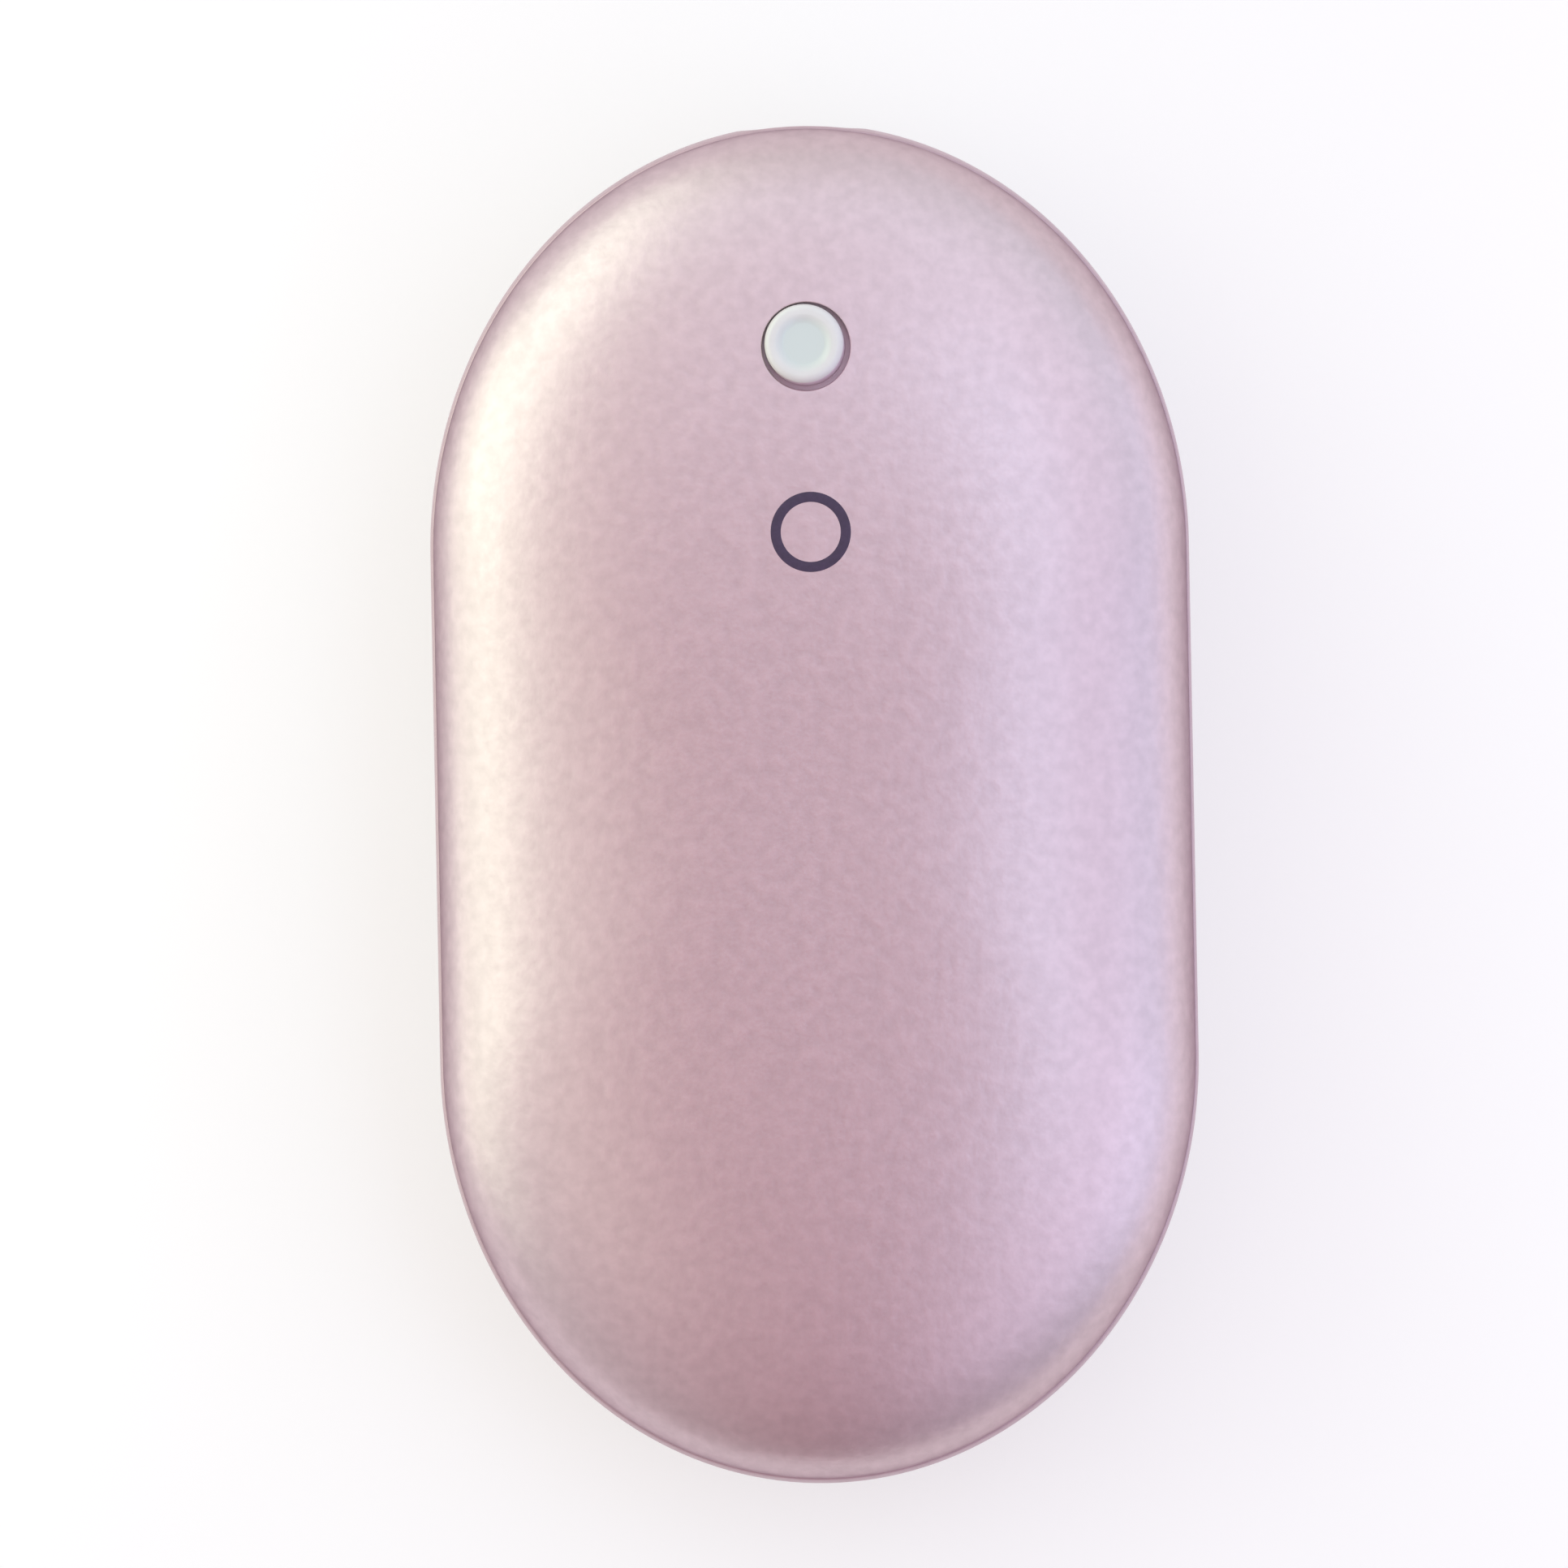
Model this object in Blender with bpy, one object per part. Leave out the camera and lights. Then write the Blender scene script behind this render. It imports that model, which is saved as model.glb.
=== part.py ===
"""A rechargeable hand warmer with the shape of a flat pebble.

Two domed aluminium shells snap onto a moulded plastic frame. The frame carries two cells in their
brackets, the board with its switch and charging socket, and a heater film lies inside each shell.

Metres, +Z up. The origin is the middle of the flat that the warmer rests on. +Y points to the end
with the button and the socket.
"""

import math

import bmesh
import bpy
from mathutils import Vector

# Clearances
SEAT_GAP = 0.0003  # between pieces that rest on or in each other
SEAM_GAP = 0.0002  # between a shell's rim and the frame's band

# Cells, of the kind 18 mm across and 65 mm long
CELL_RADIUS = 0.0092
CELL_LENGTH = 0.0650
CELL_PARTING = 0.0004
CELL_EDGE = 0.0006
CELL_SHOULDER = 0.0009
CELL_CAP_RADIUS = 0.0028
CELL_NECK_SETBACK = 0.0028
CELL_NECK_HALF = 0.0006
CELL_NECK_DEPTH = 0.0005

# Body
SIDE_MARGIN = 0.0025  # between the bracket screws' heads and the frame
HEAD_MARGIN = 0.00715  # spare length over the switch, chips and walls in front of the cells
TAIL_ROOM = 0.0190  # from the cells to the outside of the body
END_REACH = 0.0328  # how far each rounded end reaches along Y
DOME_POWER = 2.65  # 2 is an ellipse, and more is a flatter dome with a rounder side
CELL_ROOM = 0.0003  # between a shell and the ends of the cells, where it is lowest over them
BASE_FLAT_DEPTH = 0.0004

# Shells
WALL = 0.0012
CROWN_CAP_SHARE = 0.1

# Frame: a band that shows between the shells, and a tongue up and down inside them
BAND_HEIGHT = 0.0052
TONGUE_RISE = 0.0030
TONGUE_THICKNESS = 0.0013
BEAD_LIFT = 0.0010
BEAD_HEIGHT = 0.0012
BEAD_SLOPE = 0.0004
BEAD_PROUD = 0.00045
LUG_RADIUS = 0.0019
LUG_FOOT = 0.0002  # from a lug's underside to the band's lower edge

# Screws
SCREW_RADIUS = 0.0008
SCREW_LENGTH = 0.0042
SCREW_HEAD_RADIUS = 0.0016
SCREW_HEAD_HEIGHT = 0.0010
SCREW_HEAD_EDGE = 0.0003
SCREW_RECESS_RADIUS = 0.0006
SCREW_RECESS_DEPTH = 0.0005

# Cell brackets
CHEEK = 0.0013
BRACKET_HEIGHT = 0.0080
BRACKET_PLATE = 0.0020
BRACKET_CHAMFER = 0.0016
BRACKET_SLOT_HALF = 0.0018
EAR_LOW = 0.0010  # above the widest level
EAR_THICKNESS = 0.0016
EAR_SETBACK = 0.0062  # from the cells' end, or more where the frame's rounded end needs it
EAR_MARGIN = 0.0009  # from an ear to the open end of its bracket

# Strips and leads
STRIP_THICKNESS = 0.0002
STRIP_HALF_HEIGHT = 0.0030
STRIP_OVERHANG = 0.0030
TAB_HALF = 0.0015
TAB_OFFSET = 0.0075
TAB_RISE = 0.0010
LEAD_RADIUS = 0.0006
LEAD_ROOM = 0.0015
THIN_LEAD_RADIUS = 0.0004
LEAD_BEND_STEP = 0.0025
LEAD_BEND_POINTS = 3  # at least, from one point of a route to the next

# Heater films and pads: the shares say how much of the body's outline they cover
FILM_THICKNESS = 0.0003
FILM_SHARE = 0.55
PAD_THICKNESS = 0.0005
PAD_SHARE = 0.45

# Board
BOARD_THICKNESS = 0.0012
BOARD_GAP = 0.0004
BOARD_SCREW_ROOM = 0.0006  # between a screw's head and the frame
BOARD_SCREW_TURN = math.radians(50)  # round the frame's rounded end, from the side

# Charging socket, of the small oval kind
SOCKET_WIDTH = 0.00894
SOCKET_HEIGHT = 0.00326
SOCKET_DEPTH = 0.00735
SOCKET_WALL = 0.0003
SOCKET_BACK = 0.0008
SOCKET_RECESS = 0.0006
TONGUE_WIDTH = 0.0067
TONGUE_HEIGHT = 0.0007
TONGUE_SETBACK = 0.0010
INSULATOR_DEPTH = 0.0016

# Switch and its plunger
SWITCH_SIDE = 0.0045
SWITCH_HEIGHT = 0.0028
SWITCH_MARGIN = 0.00065
PLUNGER_RADIUS = 0.0014
PLUNGER_ROOT = 0.0012
PLUNGER_EDGE = 0.0002
WELL_DEPTH = 0.0020

# Button
CAP_RADIUS = 0.00305
CAP_CLEARANCE = 0.00035
CAP_PROUD = 0.0010
CAP_FILLET = 0.0007
DISH_RADIUS = 0.0021
DISH_DEPTH = 0.0002
FLANGE_RADIUS = 0.0041
FLANGE_THICKNESS = 0.0008
FLANGE_DROP = 0.0001
STEM_RADIUS = 0.0019
STEM_LENGTH = 0.0008

# Parts on the board, as (length along X, along Y, height)
CHARGER_SIZE = (0.0040, 0.0040, 0.0008)
CONTROL_SIZE = (0.0050, 0.0040, 0.0015)
TRANSISTOR_SIZE = (0.0060, 0.0045, 0.0018)
LED_SIZE = (0.0016, 0.0008, 0.0006)
CHIP_OFFSET = 0.0073
CHIP_ROOM = 0.0006  # between a chip and the frame
LED_SPACING = 0.0006
CHIP_EDGE = 0.0002

# Thermistor
THERMISTOR_RADIUS = 0.0008
THERMISTOR_LENGTH = 0.0026

OVERRUN = 0.0010  # how far a cutter passes the faces that it opens

END_SEGMENTS = 24
SOFT_SEGMENTS = 12
ROUND_SEGMENTS = 24
SMALL_SEGMENTS = 16
OUTER_LEVELS = 10
INNER_LEVELS = 7
SOFT_LEVELS = 3
SHARP_ANGLE = math.radians(35)

# Places that follow from the sizes above
TONGUE_OUT = WALL + SEAT_GAP
TONGUE_IN = TONGUE_OUT + TONGUE_THICKNESS
CELL_AXIS_X = CELL_RADIUS + CELL_PARTING / 2
CHEEK_OUT = CELL_AXIS_X + CELL_RADIUS + SEAT_GAP + CHEEK
EAR_SCREW_X = CHEEK_OUT + SEAT_GAP + LUG_RADIUS
HALF_WIDTH = EAR_SCREW_X + SCREW_HEAD_RADIUS + SIDE_MARGIN + TONGUE_IN
SWITCH_ROOM = 2 * SEAT_GAP + STRIP_THICKNESS + SWITCH_MARGIN + SWITCH_SIDE
HEAD_ROOM = SWITCH_ROOM + TRANSISTOR_SIZE[1] + CHIP_ROOM + TONGUE_IN + HEAD_MARGIN
HALF_LENGTH = (CELL_LENGTH + HEAD_ROOM + TAIL_ROOM) / 2
STRAIGHT_HALF = HALF_LENGTH - END_REACH
CELL_FRONT_Y = HALF_LENGTH - HEAD_ROOM
CELL_REAR_Y = TAIL_ROOM - HALF_LENGTH


def outline_scale(x, y, inset):
    """The share by which the outline, drawn in by inset, shrinks about its middle to pass through x, y."""
    side = abs(x) / (HALF_WIDTH - inset)
    if abs(y) <= side * STRAIGHT_HALF:
        return side
    along = abs(y) / (END_REACH - inset)
    centre = STRAIGHT_HALF / (END_REACH - inset)
    root = math.sqrt(along**2 + side**2 * (1 - centre**2))
    return (side**2 + along**2) / (along * centre + root)


def dome_share(scale):
    """The height of a dome, as a share of its full height, where its outline has shrunk to scale."""
    return (1 - scale**DOME_POWER) ** (1 / DOME_POWER)


def inner_height():
    """The inside height of a dome that clears the ends of the cells and, at the edge of the pad, the layers."""
    far_end = max(CELL_FRONT_Y, -CELL_REAR_Y)
    over_ends = (CELL_RADIUS + CELL_ROOM) / dome_share(outline_scale(CELL_AXIS_X, far_end, WALL))
    layers = PAD_THICKNESS + FILM_THICKNESS + 3 * SEAT_GAP
    over_pad = (CELL_RADIUS + layers) / dome_share(PAD_SHARE)
    return max(over_ends, over_pad)


DOME_HEIGHT = inner_height() + WALL
MIDDLE_Z = DOME_HEIGHT - BASE_FLAT_DEPTH  # the body is widest at this level
BAND_HALF = BAND_HEIGHT / 2
TONGUE_TOP = BAND_HALF + TONGUE_RISE

SOCKET_TOP_Z = MIDDLE_Z + SOCKET_HEIGHT / 2
BOARD_LOW_Z = SOCKET_TOP_Z + SEAT_GAP
BOARD_TOP_Z = BOARD_LOW_Z + BOARD_THICKNESS
STRIP_FRONT_Y = CELL_FRONT_Y + SEAT_GAP
STRIP_REAR_Y = CELL_REAR_Y - SEAT_GAP
BOARD_REAR_Y = STRIP_FRONT_Y + STRIP_THICKNESS + SEAT_GAP
BUTTON_Y = BOARD_REAR_Y + SWITCH_MARGIN + SWITCH_SIDE / 2
VALLEY_Z = MIDDLE_Z + math.sqrt((CELL_RADIUS + LEAD_RADIUS + LEAD_ROOM) ** 2 - CELL_AXIS_X**2)

EAR_TOP_Z = MIDDLE_Z + EAR_LOW + EAR_THICKNESS
BRACKET_LUG_Z = MIDDLE_Z + EAR_LOW - SEAT_GAP
BOARD_LUG_Z = BOARD_LOW_Z - SEAT_GAP
SCREW_HOLE_RADIUS = SCREW_RADIUS + SEAT_GAP

# Finishes, as (colour, roughness, metallic)
FINISHES = {
    "anodised": ((0.62, 0.38, 0.36), 0.38, 1.0),
    "band": ((0.60, 0.44, 0.42), 0.45, 0.0),
    "button": ((0.86, 0.88, 0.87), 0.35, 0.0),
    "black_plastic": ((0.02, 0.02, 0.02), 0.45, 0.0),
    "grey_plastic": ((0.22, 0.22, 0.23), 0.55, 0.0),
    "board": ((0.02, 0.16, 0.08), 0.5, 0.0),
    "steel": ((0.62, 0.62, 0.63), 0.3, 1.0),
    "nickel": ((0.66, 0.63, 0.58), 0.3, 1.0),
    "cell_wrap": ((0.05, 0.22, 0.42), 0.4, 0.0),
    "film": ((0.55, 0.28, 0.06), 0.4, 0.0),
    "foam": ((0.08, 0.08, 0.09), 0.9, 0.0),
    "red_lead": ((0.55, 0.02, 0.02), 0.5, 0.0),
    "black_lead": ((0.02, 0.02, 0.02), 0.5, 0.0),
    "white_lead": ((0.75, 0.75, 0.72), 0.5, 0.0),
    "led": ((0.85, 0.84, 0.7), 0.3, 0.0),
}


def clear_scene():
    for obj in list(bpy.data.objects):
        bpy.data.objects.remove(obj, do_unlink=True)


def surface_material(name, finish):
    colour, roughness, metallic = FINISHES[finish]
    made = bpy.data.materials.new(name)
    made.use_nodes = True
    shader = made.node_tree.nodes["Principled BSDF"]
    shader.inputs["Base Color"].default_value = (*colour, 1)
    shader.inputs["Roughness"].default_value = roughness
    shader.inputs["Metallic"].default_value = metallic
    made.diffuse_color = (*colour, 1)
    return made


def placed(name, data, finish, location, rotation):
    obj = bpy.data.objects.new(name, data)
    bpy.context.scene.collection.objects.link(obj)
    obj.parent = bpy.data.objects.get("hand_warmer")
    obj.location = location
    obj.rotation_euler = rotation
    if finish:
        obj.data.materials.append(surface_material(name, finish))
    return obj


def mesh_from(name, bm):
    bmesh.ops.recalc_face_normals(bm, faces=bm.faces)
    mesh = bpy.data.meshes.new(name)
    bm.to_mesh(mesh)
    bm.free()
    mesh.shade_smooth()
    mesh.set_sharp_from_angle(angle=SHARP_ANGLE)
    return mesh


def solid(name, bm, finish, location=(0, 0, 0), rotation=(0, 0, 0)):
    return placed(name, mesh_from(name, bm), finish, location, rotation)


def tool(name, bm, location=(0, 0, 0), rotation=(0, 0, 0)):
    """A helper solid for a Boolean, which isn't part of the object."""
    helper = placed(name, mesh_from(name, bm), None, location, rotation)
    helper.hide_render = True
    helper.display_type = "WIRE"
    return helper


def combine(target, operation, helper):
    modifier = target.modifiers.new(helper.name, "BOOLEAN")
    modifier.operation = operation
    modifier.object = helper


def soften(target, width):
    modifier = target.modifiers.new("edges", "BEVEL")
    modifier.width = width
    modifier.segments = 1


def add_skin(bm, rings, joined=False):
    """Faces from each ring of points to the next. The ends are capped, or joined to each other."""
    rows = [[bm.verts.new(point) for point in ring] for ring in rings]
    pairs = list(zip(rows, rows[1:]))
    if joined:
        pairs.append((rows[-1], rows[0]))
    else:
        bm.faces.new(rows[0])
        bm.faces.new(rows[-1])
    for row, following in pairs:
        for i in range(len(row)):
            j = (i + 1) % len(row)
            bm.faces.new((row[i], row[j], following[j], following[i]))


def add_prism(bm, outline, low, high):
    """A solid with a flat outline in X and Y, from one height to another."""
    add_skin(bm, [[Vector((x, y, z)) for x, y in outline] for z in (low, high)])


def add_slab(bm, outline, near, far):
    """A solid with a flat outline in X and Z, from one Y to another."""
    add_skin(bm, [[Vector((x, y, z)) for x, z in outline] for y in (near, far)])


def add_box(bm, low, high):
    outline = [(low[0], low[1]), (high[0], low[1]), (high[0], high[1]), (low[0], high[1])]
    add_prism(bm, outline, low[2], high[2])


def circle(radius, segments, centre=(0, 0)):
    turn = 2 * math.pi / segments
    return [
        (centre[0] + radius * math.cos(i * turn), centre[1] + radius * math.sin(i * turn))
        for i in range(segments)
    ]


def oval(width, height, centre_z, segments):
    """The outline, in X and Z, of a slot with round ends."""
    radius = height / 2
    reach = width / 2 - radius
    outline = []
    for side in (1, -1):
        for i in range(segments + 1):
            angle = math.pi * i / segments - side * math.pi / 2
            outline.append((side * reach + radius * math.cos(angle), centre_z + radius * math.sin(angle)))
    return outline


def add_turned(bm, profile, segments, slope=0):
    """A solid turned about Z from (radius, height, lean) points, where a lean of 1 follows the slope along Y."""
    rows = []
    for radius, height, lean in profile:
        ring = circle(radius, segments) if radius else [(0, 0)]
        rows.append([bm.verts.new((x, y, height + lean * slope * y)) for x, y in ring])
    for row, following in zip(rows, rows[1:]):
        for i in range(segments):
            j = (i + 1) % segments
            corners = [row[i % len(row)], row[j % len(row)]]
            corners += [following[j % len(following)], following[i % len(following)]]
            bm.faces.new(dict.fromkeys(corners))


def upright(profile):
    """A turned profile of (radius, height) points that follows no slope."""
    return [(radius, height, 0) for radius, height in profile]


def level_scale(inset, height):
    """How far the outline has shrunk at a height above or below the widest level."""
    return dome_share(abs(height) / (DOME_HEIGHT - inset))


def body_ring(inset, height, segments=END_SEGMENTS):
    """The body's outline, drawn in by inset, at a height above or below the widest level."""
    scale = level_scale(inset, height)
    width = (HALF_WIDTH - inset) * scale
    reach = (END_REACH - inset) * scale
    centre = STRAIGHT_HALF * scale
    ring = []
    for end in (1, -1):
        for i in range(segments + 1):
            angle = math.pi * i / segments
            x = end * width * math.cos(angle)
            y = end * (centre + reach * math.sin(angle))
            ring.append(Vector((x, y, MIDDLE_Z + height)))
    return ring


def dome_heights(inset, low, top_scale, count):
    """Heights up a dome, evenly turned from a low level to where the outline has shrunk to top_scale."""
    dome = DOME_HEIGHT - inset
    first = math.asin((low / dome) ** (DOME_POWER / 2))
    last = math.acos(top_scale ** (DOME_POWER / 2))
    angles = [first + (last - first) * i / count for i in range(count + 1)]
    return [dome * math.sin(angle) ** (2 / DOME_POWER) for angle in angles]


def tongue_scale(height):
    """How far the inside of the frame has drawn in at a height. Above the band its wall is straight."""
    foot = level_scale(TONGUE_IN, BAND_HALF)
    rise = max(height - BAND_HALF, 0) / TONGUE_RISE
    return foot + rise * (level_scale(TONGUE_IN, TONGUE_TOP) - foot)


def board_screw_place(side):
    """The place of a board screw, whose head clears the frame's tongue."""
    head_top = BOARD_TOP_Z + SEAT_GAP + SCREW_HEAD_HEIGHT - MIDDLE_Z
    scale = tongue_scale(head_top)
    across = (HALF_WIDTH - TONGUE_IN) * scale * math.cos(BOARD_SCREW_TURN)
    along = (END_REACH - TONGUE_IN) * scale * math.sin(BOARD_SCREW_TURN)
    inwards = 1 - (SCREW_HEAD_RADIUS + BOARD_SCREW_ROOM) / math.hypot(across, along)
    return Vector((side * across * inwards, STRAIGHT_HALF * scale + along * inwards))


BOARD_SCREWS = [board_screw_place(side) for side in (-1, 1)]


def end_wall_y(x, height):
    """How far along Y the inside of the frame's tongue lies at x, at a height from the widest level."""
    scale = tongue_scale(height)
    across = x / ((HALF_WIDTH - TONGUE_IN) * scale)
    return scale * (STRAIGHT_HALF + (END_REACH - TONGUE_IN) * math.sqrt(1 - across**2))


def ear_y(cell_end):
    """The place along Y of a bracket's ears, where the screws' heads clear the frame's tongue."""
    head_top = EAR_TOP_Z + SEAT_GAP + SCREW_HEAD_HEIGHT - MIDDLE_Z
    wall_y = end_wall_y(EAR_SCREW_X + SCREW_HEAD_RADIUS + SEAT_GAP, head_top)
    return math.copysign(min(abs(cell_end) - EAR_SETBACK, wall_y), cell_end)


BRACKET_SCREWS = [
    Vector((side * EAR_SCREW_X, ear_y(cell_end))) for cell_end in (CELL_FRONT_Y, CELL_REAR_Y) for side in (-1, 1)
]


def surface_z(x, y, inset):
    """The height of the upper dome, drawn in by inset, over a place."""
    return MIDDLE_Z + (DOME_HEIGHT - inset) * dome_share(outline_scale(x, y, inset))


def wall_point(place, inset):
    """Where the line from the middle of a rounded end through a place meets the outline, drawn in by inset."""
    centre_y = math.copysign(STRAIGHT_HALF, place.y)
    across = place.x / (HALF_WIDTH - inset)
    along = (place.y - centre_y) / (END_REACH - inset)
    out = math.hypot(across, along)
    return Vector((place.x / out, centre_y + (place.y - centre_y) / out))


def shell(name, side, top_scale):
    """A domed shell above (side 1) or below (side -1) the band, with the groove for the frame's bead."""
    rim = BAND_HALF + SEAM_GAP
    groove_low = BAND_HALF + BEAD_LIFT - SEAT_GAP
    groove_high = BAND_HALF + BEAD_LIFT + BEAD_HEIGHT + SEAT_GAP
    groove = [
        (WALL, groove_low),
        (WALL - BEAD_PROUD, groove_low + BEAD_SLOPE),
        (WALL - BEAD_PROUD, groove_high - BEAD_SLOPE),
    ]
    outer = [(0, height) for height in dome_heights(0, rim, top_scale, OUTER_LEVELS)]
    inner = [(WALL, height) for height in dome_heights(WALL, groove_high, CROWN_CAP_SHARE, INNER_LEVELS)]
    levels = outer[::-1] + [(WALL, rim)] + groove + inner
    bm = bmesh.new()
    add_skin(bm, [body_ring(inset, side * height) for inset, height in levels])
    return solid(name, bm, "anodised")


def make_shells():
    top = shell("top_shell", 1, CROWN_CAP_SHARE)
    bm = bmesh.new()
    hole = circle(CAP_RADIUS + CAP_CLEARANCE, ROUND_SEGMENTS, (0, BUTTON_Y))
    add_prism(bm, hole, VALLEY_Z, MIDDLE_Z + DOME_HEIGHT + OVERRUN)
    combine(top, "DIFFERENCE", tool("button_hole", bm))
    shell("bottom_shell", -1, level_scale(0, MIDDLE_Z))


def lug_outline(place):
    """A tab, half round at a screw, that runs out into the thickness of the band."""
    foot = wall_point(place, TONGUE_IN / 2)
    away = (foot - place).normalized()
    across = Vector((-away.y, away.x))
    outline = []
    for i in range(SMALL_SEGMENTS // 2 + 1):
        angle = 2 * math.pi * i / SMALL_SEGMENTS
        outline.append(place + LUG_RADIUS * (across * math.cos(angle) - away * math.sin(angle)))
    return outline + [foot - LUG_RADIUS * across, foot + LUG_RADIUS * across]


def make_frame():
    """The hoop between the shells, with tongues and snap beads, six screw lugs and the port."""
    bead_foot = BAND_HALF + BEAD_LIFT
    bead_top = bead_foot + BEAD_HEIGHT
    half = [
        (0, BAND_HALF / 2),
        (0, BAND_HALF),
        (TONGUE_OUT, BAND_HALF),
        (TONGUE_OUT, bead_foot),
        (TONGUE_OUT - BEAD_PROUD, bead_foot + BEAD_SLOPE),
        (TONGUE_OUT - BEAD_PROUD, bead_top - BEAD_SLOPE),
        (TONGUE_OUT, bead_top),
        (TONGUE_OUT, TONGUE_TOP),
        (TONGUE_IN, TONGUE_TOP),
        (TONGUE_IN, BAND_HALF),
    ]
    levels = [(0, 0)] + half + [(TONGUE_IN, 0)] + [(inset, -height) for inset, height in half[::-1]]
    bm = bmesh.new()
    add_skin(bm, [body_ring(inset, height) for inset, height in levels], joined=True)
    frame = solid("mid_frame", bm, "band")

    lugs = bmesh.new()
    low = MIDDLE_Z - BAND_HALF + LUG_FOOT
    for places, high in ((BRACKET_SCREWS, BRACKET_LUG_Z), (BOARD_SCREWS, BOARD_LUG_Z)):
        for place in places:
            add_prism(lugs, lug_outline(place), low, high)
    combine(frame, "UNION", tool("lugs", lugs))

    holes = bmesh.new()
    for place in BRACKET_SCREWS + BOARD_SCREWS:
        outline = circle(SCREW_HOLE_RADIUS, SMALL_SEGMENTS, place)
        add_prism(holes, outline, low - OVERRUN, BOARD_LUG_Z + OVERRUN)
    port = oval(SOCKET_WIDTH + 2 * SEAT_GAP, SOCKET_HEIGHT + 2 * SEAT_GAP, MIDDLE_Z, SMALL_SEGMENTS // 2)
    add_slab(holes, port, HALF_LENGTH - TONGUE_IN - OVERRUN, HALF_LENGTH + OVERRUN)
    combine(frame, "DIFFERENCE", tool("screw_holes_and_port", holes))


def make_cells():
    shoulder = CELL_LENGTH - CELL_SHOULDER
    neck = shoulder - CELL_NECK_SETBACK
    profile = [
        (0, 0),
        (CELL_RADIUS - CELL_EDGE, 0),
        (CELL_RADIUS, CELL_EDGE),
        (CELL_RADIUS, neck - CELL_NECK_HALF),
        (CELL_RADIUS - CELL_NECK_DEPTH, neck),
        (CELL_RADIUS, neck + CELL_NECK_HALF),
        (CELL_RADIUS, shoulder - CELL_EDGE),
        (CELL_RADIUS - CELL_EDGE, shoulder),
        (CELL_CAP_RADIUS, shoulder),
        (CELL_CAP_RADIUS, CELL_LENGTH),
        (0, CELL_LENGTH),
    ]
    for name, side in (("cell_left", -1), ("cell_right", 1)):
        bm = bmesh.new()
        add_turned(bm, upright(profile), ROUND_SEGMENTS)
        place = (side * CELL_AXIS_X, CELL_REAR_Y, MIDDLE_Z)
        solid(name, bm, "cell_wrap", place, (-math.pi / 2, 0, 0))


def make_bracket(name, cell_end, out):
    """A bracket round both cells' ends, with an end plate and an ear for a screw at each side."""
    plate_near = cell_end + out * (2 * SEAT_GAP + STRIP_THICKNESS)
    plate_far = plate_near + out * BRACKET_PLATE
    centre_y = ear_y(cell_end)
    reach = centre_y - out * (LUG_RADIUS + EAR_MARGIN)
    half = BRACKET_HEIGHT / 2
    beside_wall = abs(plate_far) + SEAT_GAP - end_wall_y(CHEEK_OUT, half)
    chamfer = max(BRACKET_CHAMFER, beside_wall)
    outline = [
        (-CHEEK_OUT, reach),
        (CHEEK_OUT, reach),
        (CHEEK_OUT, plate_far - out * chamfer),
        (CHEEK_OUT - chamfer, plate_far),
        (chamfer - CHEEK_OUT, plate_far),
        (-CHEEK_OUT, plate_far - out * chamfer),
    ]
    bm = bmesh.new()
    add_prism(bm, outline, MIDDLE_Z - half, MIDDLE_Z + half)
    bracket = solid(name, bm, "black_plastic")

    near, far = sorted((reach - out * OVERRUN, plate_near))
    for end, side in (("left", -1), ("right", 1)):
        pocket = bmesh.new()
        outline = circle(CELL_RADIUS + SEAT_GAP, ROUND_SEGMENTS, (side * CELL_AXIS_X, MIDDLE_Z))
        add_slab(pocket, outline, near, far)
        combine(bracket, "DIFFERENCE", tool(f"{name}_pocket_{end}", pocket))

    # Between the cells a slot, open at the top, leaves room for the strip, its tab and the lead.
    slot = bmesh.new()
    low = (-BRACKET_SLOT_HALF, near, MIDDLE_Z - STRIP_HALF_HEIGHT - SEAT_GAP)
    add_box(slot, low, (BRACKET_SLOT_HALF, far, MIDDLE_Z + half + OVERRUN))
    combine(bracket, "DIFFERENCE", tool(name + "_slot", slot))

    ears = bmesh.new()
    for side in (-1, 1):
        place = Vector((side * EAR_SCREW_X, centre_y))
        inner = side * (CHEEK_OUT - CHEEK / 2)
        outline = [(inner, centre_y - LUG_RADIUS), (place.x, centre_y - LUG_RADIUS)]
        for i in range(1, SMALL_SEGMENTS // 2):
            angle = 2 * math.pi * i / SMALL_SEGMENTS - math.pi / 2
            outline.append((place.x + side * LUG_RADIUS * math.cos(angle), centre_y + LUG_RADIUS * math.sin(angle)))
        outline += [(place.x, centre_y + LUG_RADIUS), (inner, centre_y + LUG_RADIUS)]
        add_prism(ears, outline, MIDDLE_Z + EAR_LOW, EAR_TOP_Z)
    combine(bracket, "UNION", tool(name + "_ears", ears))

    cuts = bmesh.new()
    for side in (-1, 1):
        outline = circle(SCREW_HOLE_RADIUS, SMALL_SEGMENTS, (side * EAR_SCREW_X, centre_y))
        add_prism(cuts, outline, MIDDLE_Z + EAR_LOW - OVERRUN, EAR_TOP_Z + OVERRUN)
    if out > 0:
        # The board lies over the front bracket's plate.
        low = (-CHEEK_OUT - OVERRUN, BOARD_REAR_Y - SEAT_GAP, BOARD_LOW_Z - SEAT_GAP)
        add_box(cuts, low, (CHEEK_OUT + OVERRUN, plate_far + OVERRUN, MIDDLE_Z + half + OVERRUN))
    combine(bracket, "DIFFERENCE", tool(name + "_cuts", cuts))


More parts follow.
